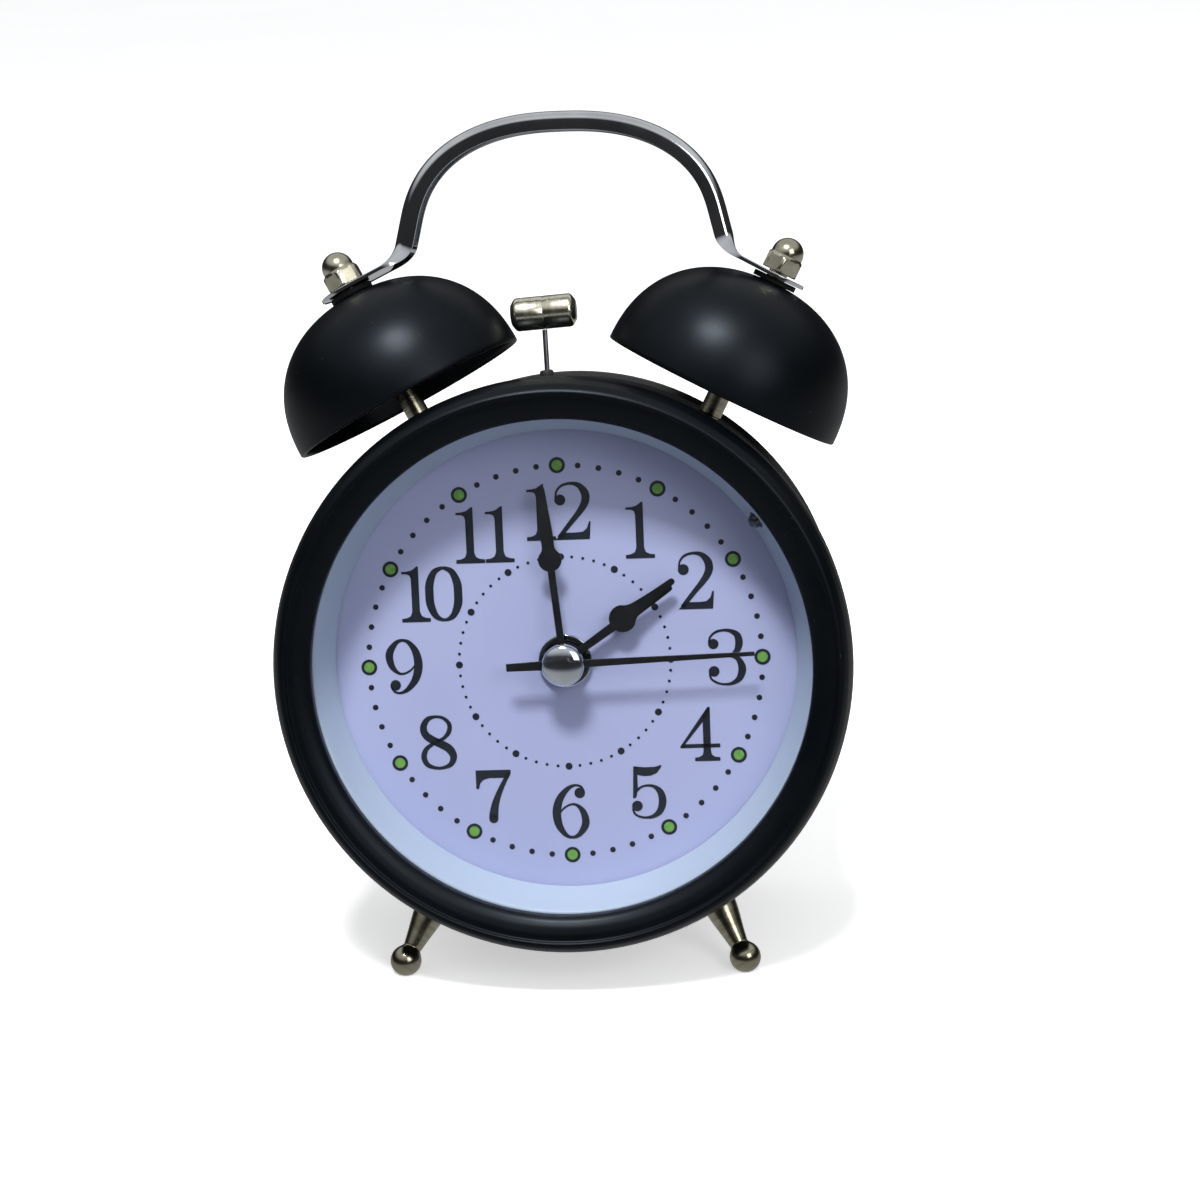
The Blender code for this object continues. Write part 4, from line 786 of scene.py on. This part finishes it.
DIGITS = {
    "0": {
        "strokes": [[
            (33.5, 97.5, 2.7), (18, 90, 5.4), (9, 70, 7.4), (7.6, 50, 7.6), (9, 30, 7.4), (18, 10, 5.4),
            (33.5, 2.7, 2.7), (49, 10, 5.4), (58, 30, 7.4), (59.4, 50, 7.6), (58, 70, 7.4),
            (49, 90, 5.4), (33.5, 97.5, 2.7),
        ]],
        "width": 67,
    },
    "1": {"outlines": [ONE_OUTLINE], "width": 52},
    "2": {
        "strokes": [[
            (3, 76, 1.6), (6, 88, 1.9), (15, 97, 2.3), (30, 100.5, 2.6), (44, 97.5, 4.4),
            (54.5, 86, 6.8), (57, 73, 7.2), (52.5, 60, 6.4), (42, 45.5, 5.2), (29, 30.5, 4.4),
            (17, 16, 4.0), (7, 4, 3.6),
        ]],
        "balls": [(11, 71.5, 9.8)],
        "outlines": [TWO_FOOT],
        "width": 64.5,
    },
    "3": {
        "strokes": [
            [
                (3, 78, 1.6), (6, 88.5, 1.9), (16, 97, 2.2), (30, 100, 2.4), (43, 98, 3.6),
                (54, 90.5, 5.9), (57, 77, 6.8), (53.5, 64, 5.5), (44, 55.5, 2.9), (34, 53.3, 1.9),
                (22, 53.3, 1.9),
            ],
            [
                (30, 53, 1.9), (43, 52.5, 2.4), (55, 47, 4.7), (61.5, 30, 7.0), (56, 12.5, 5.7),
                (43, 3.6, 3.2), (30, 2.0, 2.1), (17, 4.7, 2.0), (6, 12, 1.9), (2.8, 22, 1.6),
            ],
        ],
        "balls": [(11, 75.5, 9.3), (11, 25.8, 9.6)],
        "width": 68.5,
    },
    "4": {"outlines": [FOUR_STEM, FOUR_SLOPE, FOUR_BAR], "width": 72},
    "5": {
        "strokes": [[
            (2.8, 19, 1.7), (7, 9, 1.9), (16, 3.7, 2.0), (27, 2.0, 2.2), (40, 4.2, 3.6),
            (52, 13.5, 5.8), (57.5, 31, 7.0), (54, 48.5, 5.8), (43, 58.8, 3.1), (30, 61, 2.1),
            (18, 57.5, 2.0), (9, 48.5, 2.2),
        ]],
        "balls": [(11.5, 23.6, 9.7)],
        "outlines": [FIVE_FLAG, FIVE_BAR],
        "width": 64.5,
    },
    "6": {"strokes": [SIX_STROKE], "balls": [SIX_BALL], "width": 67},
    "7": {
        "strokes": [[
            (60.5, 92, 3.4), (50, 74, 4.2), (40, 53, 5.4), (33, 33, 6.9), (30, 16, 8.2), (29.5, 8.3, 8.3),
        ]],
        "balls": [(29.5, 8.4, 8.3)],
        "outlines": [SEVEN_BAR],
        "width": 64,
    },
    "8": {
        "strokes": [[
            (33, 52, 2.8), (45, 58, 3.2), (54, 69, 4.2), (55, 83, 4.0), (45, 94, 3.0), (31, 97, 2.6),
            (16, 92.5, 4.6), (8, 78, 6.2), (11.5, 64, 6.8), (24, 54, 7.2), (40, 46, 7.4),
            (54, 36.5, 7.4), (60.5, 23, 6.4), (55, 9, 4.6), (41, 2.9, 3.0), (27, 2.9, 3.0),
            (12.5, 9, 4.4), (6.5, 23, 5.2), (11, 37, 4.4), (22, 46, 3.4), (34, 52.5, 2.8),
        ]],
        "width": 67,
    },
    "9": {
        "strokes": [[(67 - x, 100 - z, w) for x, z, w in SIX_STROKE]],
        "balls": [(67 - SIX_BALL[0], 100 - SIX_BALL[1], SIX_BALL[2])],
        "width": 67,
    },
}
PAIR_GAP = {"10": -8.0, "11": 1.0, "12": -1.5}
# Where the middle of each number sits on the dial: x, z
NUMBER_PLACES = {
    "12": (-0.1, 23.3), "1": (12.3, 20.1), "2": (20.6, 12.0), "3": (25.0, 0.0),
    "4": (20.5, -11.8), "5": (12.2, -20.7), "6": (0.0, -23.6), "7": (-11.9, -20.9),
    "8": (-20.3, -12.1), "9": (-25.0, 0.0), "10": (-20.2, 11.2), "11": (-11.6, 20.1),
}


def digit(name):
    """The solids of a digit, 100 units tall, with its lower left corner at the origin."""
    drawn, front, back = DIGITS[name], -3.0, 0.0
    shapes = [prism(softened(outline, 1.2, 2), front, back) for outline in drawn.get("outlines", [])]
    shapes += [ribbon(stroke(line), front, back) for line in drawn.get("strokes", [])]
    shapes += [prism(circle(r, 32, (x, z)), front, back) for x, z, r in drawn.get("balls", [])]
    return shapes


def number(text):
    """A number centred on the origin, in millimetres, printed on the dial."""
    shapes, cursor, gap = [], 0.0, PAIR_GAP.get(text, 0.0)
    for name in text:
        shapes += [moved(shape, cursor) for shape in digit(name)]
        cursor += DIGITS[name]["width"] + gap
    middle = (cursor - gap) / 2
    verts, faces = joined(*shapes)
    scale = NUMERAL_HEIGHT / 100
    return [((x - middle) * scale, y * 0.01, (z - 50) * scale) for x, y, z in verts], faces


def build_dial():
    profile = [
        (DIAL_HOLE_R, DIAL_Y), (DIAL_HOLE_R, DIAL_Y + 0.5), (DIAL_R, DIAL_Y + 0.5), (DIAL_R, DIAL_Y),
    ]
    shape = along_case(turned(profile))
    add_piece("dial_card_disc", shape, "dial_card", "case", "dial_plate")

    numbers = [moved(number(text), x, PRINT_Y, z) for text, (x, z) in NUMBER_PLACES.items()]
    black, green = [], []
    for k in range(60):
        angle = pi / 2 - 2 * pi * k / 60
        outer, inner = ((r * cos(angle), r * sin(angle)) for r in (DOT_RING_R, INNER_RING_R))
        on_hour = k % 5 == 0
        if on_hour:
            black.append(prism(circle(1.24, 40, outer), PRINT_TOP_Y, PRINT_Y, circle(0.8, 40, outer)))
            green.append(prism(circle(0.82, 40, outer), PRINT_Y - 0.01, PRINT_Y))
        else:
            black.append(prism(circle(0.44, 24, outer), PRINT_TOP_Y, PRINT_Y))
        black.append(prism(circle(0.55 if on_hour else 0.23, 20, inner), PRINT_TOP_Y, PRINT_Y))
    where = place(PRINT_X, 0.0, PRINT_Z, turn_y(PRINT_TURN))
    for name, shapes, ink in (
        ("dial_numbers", numbers, INK), ("dial_black_dots", black, INK), ("dial_green_dots", green, GLOW),
    ):
        add_piece(name, joined(*shapes), "dial_card", "case", where=where, finish=ink)


# ---------------- hands

def spade(reach, bulb_z, bulb_r, stem, tip, hub_r):
    """The outline of a hand that points up: a hub, a stem, a round bulb and a tapering blade."""
    start = asin(stem / hub_r)
    turns = [(pi - start) * k / 24 for k in range(25)]
    edge = [(hub_r * sin(a), -hub_r * cos(a)) for a in turns]
    low = asin(stem / bulb_r)
    high = radians(118)
    for k in range(17):
        angle = low + (high - low) * k / 16
        edge.append((bulb_r * sin(angle), bulb_z - bulb_r * cos(angle)))
    shoulder_x, shoulder_z = edge[-1]
    blade_z = shoulder_z + 1.9 * bulb_r
    blade = [
        (shoulder_x, shoulder_z), (shoulder_x * 0.62, shoulder_z + 0.55 * bulb_r),
        (tip * 1.55, blade_z), (tip, reach - tip),
    ]
    edge += [(p.x, p.y) for p in smooth_line(blade)[1:]]
    edge += [(tip * cos(a), reach - tip + tip * sin(a)) for a in quarter(6)[1:]]
    return mirrored(edge)


def mirrored(edge):
    """A whole outline from its right-hand edge, tail to tip."""
    return edge + [(-x, z) for x, z in edge[::-1] if x > 1e-6]


def build_hands():
    minute = spade(27.5, 16.1, 1.8, 0.55, 0.62, 2.3)
    hour = spade(21.2, 11.3, 2.1, 0.6, 0.5, 2.6)
    alarm = spade(20.2, 11.0, 1.3, 0.55, 0.45, 3.0)
    hub = [(2.2 * sin(radians(a)), -2.2 * cos(radians(a))) for a in range(20, 164, 8)]
    second = mirrored([(0.6, -8.8)] + hub + [(0.6, 3.0), (0.33, 29.2)])
    hands = [
        ("minute_hand_blade", minute, 9.35, 9.65, 1.15, MINUTE_ANGLE, "minute_arbor", "minute_hand"),
        ("hour_hand_blade", hour, 10.3, 10.65, 1.7, HOUR_ANGLE, "hour_arbor", "hour_hand"),
        ("alarm_hand_blade", alarm, 11.2, 11.5, 2.25, ALARM_HAND_ANGLE, "alarm_arbor", "alarm_hand"),
        ("second_hand_blade", second, 8.45, 8.7, 0.65, SECOND_ANGLE, "seconds_arbor", "second_hand"),
    ]
    for name, outline, front, back, bore, angle, body, node in hands:
        shape = prism(outline, front, back, circle(bore, 40))
        hand = mesh_object(name, shape, MATERIALS["hand_enamel"], place(rotation=turn_y(angle)))
        show(bevelled(hand, 0.07), body, "hand_enamel", node)

    radius, back = 3.25, 8.15
    dome = [(radius * sin(a), 7.55 - 1.05 * cos(a)) for a in quarter(14)]
    shape = along_case(turned(dome + [(radius, back), (0.75, back), (0.75, 7.8), (0.0, 7.8)], 64))
    add_piece("second_hand_dome", shape, "chrome", "seconds_arbor", "second_hand_cap")


def build_centre_nut():
    profile = [(3.2, 11.9), (4.15, 11.9), (4.15, 12.5), (3.2, 12.5)]
    add_piece("centre_nut_ring", case_turned(profile, 0.22, 4, 72), "chrome", "case", "centre_fixing_nut")


# ---------------- bells, handle and nuts

def bell_curve(radius, height, steps):
    """Points of a slightly flat-topped dome, from near its top down to its rim."""
    power = 2 / BELL_ROUNDNESS
    turns = [pi / 2 * (1 - k / steps) for k in range(steps + 1)]
    return [
        (radius * max(cos(a), 0.0) ** power, height * max(sin(a), 0.0) ** power) for a in turns
    ]


def build_bell(side):
    word, where = word_for(side), bell_place(side)
    hole, mouth = POST_R + 0.1, BELL_R - BELL_WALL
    outer, inner = (
        [p for p in bell_curve(BELL_R - wall, BELL_HEIGHT - wall, 56) if p[0] > hole + 0.2]
        for wall in (0.0, BELL_WALL)
    )
    rim = [(BELL_R, 0.12), (BELL_R - 0.12, -0.02), (mouth + 0.12, -0.02), (mouth, 0.12)]
    profile = [(hole, BELL_HEIGHT)] + outer[:-1] + rim + inner[-2::-1] + [(hole, BELL_HEIGHT - BELL_WALL)]
    add_piece(
        f"bell_shell_{word}", turned(profile), "black_paint", "case", f"bell_{word}", where=where, sharp=50,
    )

    shoulder, stud_top = BELL_HEIGHT - BELL_WALL - GAP, BELL_HEIGHT + 5.2
    profile = [
        (0.0, stud_top), (STUD_R - 0.3, stud_top), (STUD_R, stud_top - 0.3), (STUD_R, shoulder),
        (POST_R, shoulder), (POST_R, POST_FOOT + 0.2), (POST_R - 0.2, POST_FOOT), (STUD_R, POST_FOOT),
    ]
    for k in range(11):
        thread = POST_FOOT - 0.2 - 0.5 * k
        profile += [(STUD_R, thread), (STUD_R - 0.16, thread - 0.25)]
    profile += [(STUD_R - 0.16, STUD_FOOT), (0.0, STUD_FOOT)]
    add_piece(
        f"bell_post_turned_{word}", turned(profile, 40), "nickel", "case", f"bell_post_{word}",
        where=where, finish=SHADED_TURNED_NICKEL,
    )

    low, top = BELL_HEIGHT + GAP, BELL_HEIGHT + GAP + WASHER_THICKNESS
    profile = [(WASHER_R, low - 0.35), (WASHER_R, top + 0.2), (1.8, top + 0.2), (1.8, low - 0.2)]
    add_piece(
        f"bell_washer_soft_{word}", turned(softened(profile, 0.12, 3), 64), "washer_rubber", "case",
        f"bell_washer_{word}", where=where,
    )
    add_piece(
        f"domed_nut_{word}", domed_nut(top + TAB_THICKNESS + 2 * GAP), "nickel", "case",
        f"acorn_nut_{word}", where=where, sharp=32,
    )


def domed_nut(low):
    """A hexagon with chamfered corners under a smooth dome, with a blind bore."""
    corner = NUT_FLATS / 2 / cos(pi / 6)
    dome_r, top = 2.5, low + NUT_HEIGHT
    levels = [(low, corner - 0.5), (low + 0.12, corner - 0.22), (low + 0.3, corner)]
    levels += [(low + 2.15, corner), (low + 2.4, corner - 0.2), (low + 2.62, corner - 0.5)]
    levels += [(low + 2.72, dome_r + 0.06), (low + 2.8, dome_r)]
    levels += [(top - dome_r + dome_r * sin(a), dome_r * cos(a)) for a in quarter(14)[:-1]]
    steps, sixth = 96, pi / 3
    rings = [[(x, y, z) for x, y in circle(1.75, steps)] for z in (low + 4.0, low)]
    for height, largest in levels:
        ring = []
        for k in range(steps):
            angle = 2 * pi * k / steps
            flat = NUT_FLATS / 2 / cos((angle + sixth / 2) % sixth - sixth / 2)
            radius = min(flat, largest)
            ring.append((radius * cos(angle), radius * sin(angle), height))
        rings.append(ring)
    return lofted(rings, (0.0, 0.0, top))


def handle_half():
    """(x, z, flatness, half width) along the right half's centre line, from crown to end plate."""
    crown = HANDLE_Z + HANDLE_B
    spread = tan(HANDLE_SPREAD)
    power = 2 / HANDLE_ROUNDNESS
    rows = []
    for k in range(49):
        angle = pi / 2 * (1 - k / 48)
        z = HANDLE_Z + HANDLE_B * sin(angle) ** power
        rows.append((HANDLE_A * max(cos(angle), 0.0) ** power + spread * (crown - z), z, 0.0))
    plate_s = BELL_HEIGHT + 2 * GAP + WASHER_THICKNESS + TAB_THICKNESS / 2
    nut_x = BELL_X + plate_s * sin(BELL_LEAN)
    nut_z = BELL_Z + plate_s * cos(BELL_LEAN)
    slope = tan(BELL_LEAN)
    corner_x = (HANDLE_A + spread * (crown - nut_z - nut_x * slope)) / (1 - spread * slope)
    corner = Vector((corner_x, nut_z + (nut_x - corner_x) * slope))
    along = Vector((cos(BELL_LEAN), -sin(BELL_LEAN)))
    start = corner + Vector((-sin(HANDLE_SPREAD), cos(HANDLE_SPREAD))) * 2.6
    end = corner + along * 3.0
    for k in range(19):
        t = k / 18
        rows.append((*bend(start, corner, end, t), t * t * (3 - 2 * t)))
    centre = Vector((nut_x, nut_z))
    for s in [-2.64, -1.6, -0.7] + [TAB_WIDTH / 2 * sin(a) for a in quarter(16)]:
        rows.append((*(centre + along * s), 1.0))
    return [(x, z, flat, strip_width(x, nut_x, flat)) for x, z, flat in rows]


def strip_width(x, nut_x, flat):
    """Half the strip's width. It widens into the plate, whose end is round about the nut."""
    beyond = max((x - nut_x) / cos(BELL_LEAN), 0.0)
    half = HANDLE_WIDTH / 2 + (TAB_WIDTH - HANDLE_WIDTH) / 2 * flat
    return max(sqrt(max(half ** 2 - beyond ** 2, 0.0)), 0.9)


def skew(z):
    """How far the arch leans to the right at a height. Its end plates stay centred."""
    rise = min(max((z - 58.0) / 6.0, 0.0), 1.0)
    return HANDLE_SKEW * rise ** 2 * (3 - 2 * rise)


def build_handle():
    """A pressed strip, channel-shaped round its arch and flat where the nuts clamp it."""
    right = handle_half()
    rows = [(-x, z, flat, width, -1) for x, z, flat, width in right[:0:-1]]
    rows += [(x, z, flat, width, 1) for x, z, flat, width in right]
    centres = [Vector((x + BELL_SHIFT + skew(z), z)) for x, z, flat, width, side in rows]
    rings = []
    for k, (x, z, flat, width, side) in enumerate(rows):
        tangent = (centres[min(k + 1, len(rows) - 1)] - centres[max(k - 1, 0)]).normalized()
        normal = Vector((-tangent.y, tangent.x))
        depth = HANDLE_DEPTH + (TAB_THICKNESS - HANDLE_DEPTH) * flat
        tip = tan(LEFT_BELL_TIP) * flat if side < 0 else 0.0
        top, low = depth / 2, -depth / 2
        inset = min(HANDLE_WALL, width * 0.45)
        shoulder = 0.2 + 1.5 * (1 - flat)
        drop = depth * (0.25 + 0.2 * (1 - flat))
        left = [(-width, low)]
        left += [(shoulder * (1 - cos(a)) - width, top - drop * (1 - sin(a))) for a in quarter(8)]
        section = left + [(-across, out) for across, out in left[::-1]] + [
            (width - inset, low), (width - inset - 0.1, top - HANDLE_WALL),
            (inset + 0.1 - width, top - HANDLE_WALL), (inset - width, low),
        ]
        points = [(centres[k] + normal * (out - across * tip), across) for across, out in section]
        rings.append([(point.x, BELL_Y + across, point.y) for point, across in points])
    handle = mesh_object("handle_strip", lofted(rings), MATERIALS["chrome"], sharp=42)
    for side in (-1, 1):
        hole = rod(STUD_R + GAP, BELL_HEIGHT - 0.5, BELL_HEIGHT + 3.5, 40)
        carve(handle, hole, bell_place(side), sharp=42)
    show(handle, "case", "chrome", "carry_handle")


# ---------------- legs and hammer

def build_leg(side):
    word, where = word_for(side), leg_place(side)
    turns = [pi * 0.75 * k / 22 for k in range(23)]
    ball = [(FOOT_BALL_R * sin(a), FOOT_BALL_R * cos(a)) for a in turns]
    body = softened(ball[-2:] + [
        (1.42, -2.2), (1.5, -2.5), (1.85, -4.5), (2.35, -7.0), (2.75, -9.8), (2.8, LEG_TOP), (0.0, LEG_TOP),
    ], 0.7, 4, closed=False, keep=(7, 8))
    leg = mesh_object(f"leg_turned_{word}", turned(ball[:-2] + body, 72), SHADED_TURNED_NICKEL, where, 40)
    carve(leg, along_case(rod(DRUM_R + GAP, 0.0, DRUM_BACK_Y, ROUND)))
    carve(leg, rod(STUD_R, -19.4, LEG_TOP / 2, 40), where, "UNION")
    slit = prism(rounded_box(0.0, -11.0, 0.14, 4.2, 0.1), -4.0, -1.7)
    facing = atan2(leg_axis(side).x, -leg_axis(side).z)
    carve(leg, slit, where @ Matrix.Rotation(-facing * 0.2, 4, "Z"))
    floor_normal = (CLOCK @ where).to_3x3().transposed() @ Vector((0.0, 0.0, -1.0))
    build = bmesh.new()
    build.from_mesh(leg.data)
    geometry = build.verts[:] + build.edges[:] + build.faces[:]
    cutting = bmesh.ops.bisect_plane(
        build, geom=geometry, dist=1e-8, plane_co=floor_normal * FOOT_FLAT * MM, plane_no=floor_normal,
        clear_outer=True,
    )
    rim = [item for item in cutting["geom_cut"] if isinstance(item, bmesh.types.BMEdge)]
    bmesh.ops.contextual_create(build, geom=rim)
    build.to_mesh(leg.data)
    build.free()
    show(leg, "case", "nickel", f"leg_{word}")


def wire_x(z):
    """Where the wire's centre is at a height, on its straight length under the head."""
    return HEAD_X - (HAMMER_REACH - z) * tan(WIRE_SLOPE)


def bent_wire(steps):
    """The hammer's wire: up from the lever to a short bend, then square into the head's underside."""
    top = HAMMER_REACH - HAMMER_R - 0.05
    corners = [(0.0, WIRE_FOOT_Z), (wire_x(WIRE_BEND_Z), WIRE_BEND_Z), (wire_x(top), top)]
    path = softened(corners, 1.6, 6, closed=False, keep=(0, 2))
    return lofted([[(x, y, z) for x, y in circle(ROD_R, steps, (centre, 0.0))] for centre, z in path])


def build_hammer():
    axle = place(0.0, BELL_Y, PIVOT_Z, turn_y(-HAMMER_REST))
    bevel = 0.62
    half = [
        (0.0, HAMMER_HALF), (HAMMER_R - bevel - 0.5, HAMMER_HALF), (HAMMER_R - 0.2, HAMMER_HALF - bevel),
        (HAMMER_R, HAMMER_HALF - bevel - 0.35), (HAMMER_R, 0.12),
    ]
    profile = half + [(HAMMER_R - 0.07, 0.0)] + [(radius, -height) for radius, height in half[::-1]]
    add_piece(
        "hammer_head_turned", turned(softened(profile, 0.28, 3, keep=(4, 5, 6)), 96), "nickel", "hammer",
        "hammer_head", where=axle @ place(HEAD_X, 0.0, HAMMER_REACH, turn_y(pi / 2 + HEAD_TILT)),
        finish=LIT_TURNED_HEAD, sharp=50,
    )
    add_piece("hammer_wire", bent_wire(28), "steel", "hammer", "hammer_rod", where=axle)
    sleeve = [(ROD_R, -1.2), (1.1, -1.2), (1.1, 1.7), (0.85, 2.0), (ROD_R, 2.0)]
    add_piece(
        "hammer_wire_sleeve", turned(softened(sleeve, 0.2, 3), 40), "washer_rubber", "hammer",
        where=axle @ place(wire_x(WIRE_BEND_Z), 0.0, WIRE_BEND_Z),
    )


# ---------------- controls on the back

def build_knob(name, node, body, x, z):
    """A fluted knob with a dished top."""
    outline = []
    flutes, per = 24, 12
    for k in range(flutes * per):
        wave = max(0.0, cos(2 * pi * (k % per) / per)) ** 0.7
        radius = KNOB_R - 0.42 * wave
        angle = 2 * pi * k / (flutes * per)
        outline.append((radius * cos(angle), radius * sin(angle)))
    top = KNOB_Y + KNOB_HEIGHT
    levels = [(1.0, KNOB_Y), (1.0, top - 0.9)]
    levels += [(1.0 - 0.1 * (1 - cos(a)), top - 0.9 + 0.9 * sin(a)) for a in quarter(5)[1:]]
    levels += [(0.74, top), (0.68, top - 0.28), (0.3, top - 0.42), (0.02, top - 0.44)]
    shape = lofted([[(px * scale, y, pz * scale) for px, pz in outline] for scale, y in levels])
    knob = mesh_object(name, shape, KNOB_PLASTIC, place(x, 0.0, z), 40)
    carve(knob, prism(circle(1.05, 32), KNOB_Y - 1.0, KNOB_Y + 2.7), place(x, 0.0, z), sharp=40)
    show(knob, body, "black_plastic", node)


def build_light_button():
    profile = [
        (0.0, 47.35), (1.6, 47.4), (2.3, 47.6), (BUTTON_R - 0.5, 47.6), (BUTTON_R, 47.1),
        (BUTTON_R, 44.7), (BUTTON_R + 0.9, 44.7), (BUTTON_R + 0.9, 43.9), (0.0, 43.9),
    ]
    add_piece(
        "light_button_cap", case_turned(profile, 0.25, 3, 72), "black_plastic", "light_key", "light_button",
        where=place(BUTTON_X, 0.0, BUTTON_Z), finish=KNOB_PLASTIC,
    )


def build_switch():
    left = SWITCH_X - 2.0
    key = rounded_box(left, SWITCH_Z, 1.3, 1.0, 0.3)
    shoe = rounded_box(left, SWITCH_Z, 3.6, 2.4, 0.3)
    shape = joined(prism(shoe, 43.4, 44.7), prism(key, 44.6, 48.2))
    switch = mesh_object("alarm_switch_key", shape, MATERIALS["switch_red"])
    for k in range(3):
        groove = rounded_box(left - 0.7 + 0.7 * k, SWITCH_Z, 0.14, 1.5, 0.05)
        carve(switch, prism(groove, 48.0, 48.5))
    show(bevelled(switch, 0.1), "alarm_key", "switch_red", "alarm_switch")


def build_battery_door():
    panel = prism(rounded_box(0.0, DOOR_Z, DOOR_HALF_X, DOOR_HALF_Z, 0.6), COVER_Y, COVER_BACK_Y)
    door = mesh_object("battery_door_panel", panel, MATERIALS["black_plastic"])
    for k in range(3):
        rib = rounded_box(0.0, DOOR_Z + DOOR_HALF_Z - 2.0 - 1.4 * k, 5.0, 0.35, 0.3)
        carve(door, prism(rib, COVER_BACK_Y - 0.3, COVER_BACK_Y + 0.4), operation="UNION")
    show(bevelled(door, 0.12), "battery_hatch", "black_plastic", "battery_door")


def build_arrows():
    """Raised arrows on the back cover that show which way each knob sets."""
    radius, half, start, sweep = 8.2, 0.22, 40, 80
    tip, base = radians(start + sweep + 12), radians(start + sweep - 1)
    outlines = []
    for x, z in (TIME_KNOB, ALARM_KNOB):
        outer = arc((x, z), radius + half, start, start + sweep, 24)
        outlines.append(outer + arc((x, z), radius - half, start + sweep, start, 24))
        corners = ((radius, tip), (radius - 0.85, base), (radius + 0.85, base))
        outlines.append([(x + r * cos(a), z + r * sin(a)) for r, a in corners])
    shapes = [prism(outline, COVER_BACK_Y - 0.35, COVER_BACK_Y - 0.12) for outline in outlines]
    add_piece("setting_arrows", joined(*shapes), "black_plastic", "case", finish=KNOB_PLASTIC)


# ---------------- CAD nodes that show as they are

def dress_cad_nodes():
    """Every CAD node gets its slot's finish, the ones inside the case included."""
    for part in frame["record"]["subparts"]:
        node = frame["nodes"][part["node"]]
        node.data.materials.clear()
        node.data.materials.append(MATERIALS[part["material_slot"]])


# ---------------- floor, light and camera

def build_floor():
    build = bmesh.new()
    bmesh.ops.create_grid(build, x_segments=8, y_segments=8, size=FLOOR_HALF)
    mesh = bpy.data.meshes.new("floor")
    build.to_mesh(mesh)
    build.free()
    mesh.materials.append(finished(
        "white_floor_paper", (250, 250, 250), (253, 253, 253), (0.6, 0.7), mottle=3.0,
        grain=[(900.0, 2.0, 0.01)], Emission_Color=(1.0, 1.0, 1.0, 1.0), Emission_Strength=FLOOR_GLOW,
    ))
    floor = new_object("floor", mesh)
    floor.visible_glossy = False
    floor.visible_diffuse = False


def area_light(name, where, size, power):
    """A soft box that looks at the clock."""
    data = bpy.data.lights.new(name, "AREA")
    data.shape = "RECTANGLE"
    data.size, data.size_y = size
    data.energy = power
    lamp = new_object(name, data)
    lamp.location = where
    lamp.rotation_mode = "QUATERNION"
    lamp.rotation_quaternion = (Vector(LIGHT_AIM) - Vector(where)).to_track_quat("-Z", "Y")
    return lamp


def all_but_handle():
    """What the key light falls on. The bright handle would throw its image onto the bells."""
    lit = bpy.data.collections.new("key_light_receivers")
    for piece in bpy.context.scene.objects:
        if piece.type == "MESH" and "handle" not in piece.name:
            lit.objects.link(piece)
    return lit


def build_lights():
    key = area_light("key", KEY_PLACE, KEY_SIZE, KEY_POWER)
    key.light_linking.receiver_collection = all_but_handle()
    area_light("fill", FILL_PLACE, FILL_SIZE, FILL_POWER)


def build_world():
    """A pale room that is bright overhead and dims towards the horizon."""
    world = bpy.data.worlds.new("pale_room")
    world.use_nodes = True
    nodes, links = world.node_tree.nodes, world.node_tree.links
    where = add_node(nodes, "TexCoord")
    split = add_node(nodes, "SeparateXYZ")
    height = add_node(nodes, "MapRange", From_Min=-1.0)
    ramp = add_node(nodes, "ValToRGB")
    elements = ramp.color_ramp.elements
    while len(elements) < len(ROOM_LIGHT):
        elements.new(0.5)
    for element, (position, value) in zip(elements, ROOM_LIGHT):
        element.position = position
        element.color = (value * 0.97, value * 0.985, value, 1.0)
    links.new(where.outputs["Generated"], split.inputs["Vector"])
    links.new(split.outputs["Z"], height.inputs["Value"])
    links.new(height.outputs["Result"], ramp.inputs["Fac"])
    links.new(ramp.outputs["Color"], nodes["Background"].inputs["Color"])
    bpy.context.scene.world = world
    bpy.context.scene.view_settings.view_transform = "Standard"


def build_camera():
    eye = CLOCK @ (Vector(CAMERA) * MM)
    aim = CLOCK @ (Vector(CAMERA_AIM) * MM)
    forward = (aim - eye).normalized()
    clock_up = CLOCK.to_3x3() @ Vector((0.0, 0.0, 1.0))
    up = (clock_up - forward * clock_up.dot(forward)).normalized()
    right = forward.cross(up)
    up = up * cos(CAMERA_ROLL) + right * sin(CAMERA_ROLL)
    right = forward.cross(up)
    turn = Matrix((right, up, -forward)).transposed().to_4x4()
    data = bpy.data.cameras.new("camera")
    data.lens = CAMERA_LENS
    data.sensor_width = CAMERA_SENSOR
    data.clip_start, data.clip_end = 0.02, 60.0
    camera = new_object("camera", data)
    camera.matrix_world = Matrix.Translation(eye) @ turn
    bpy.context.scene.camera = camera


def main():
    dress_cad_nodes()
    build_bezel()
    build_drum()
    build_lens()
    build_reflector_ring()
    build_lamp()
    build_back_cover()
    build_dial()
    build_hands()
    build_centre_nut()
    for side in (-1, 1):
        build_bell(side)
        build_leg(side)
    build_handle()
    build_hammer()
    build_knob("time_knob_fluted", "time_set_knob", "time_setting", *TIME_KNOB)
    build_knob("alarm_knob_fluted", "alarm_set_knob", "alarm_setting", *ALARM_KNOB)
    build_light_button()
    build_switch()
    build_battery_door()
    build_arrows()
    build_floor()
    build_world()
    build_lights()
    build_camera()


main()
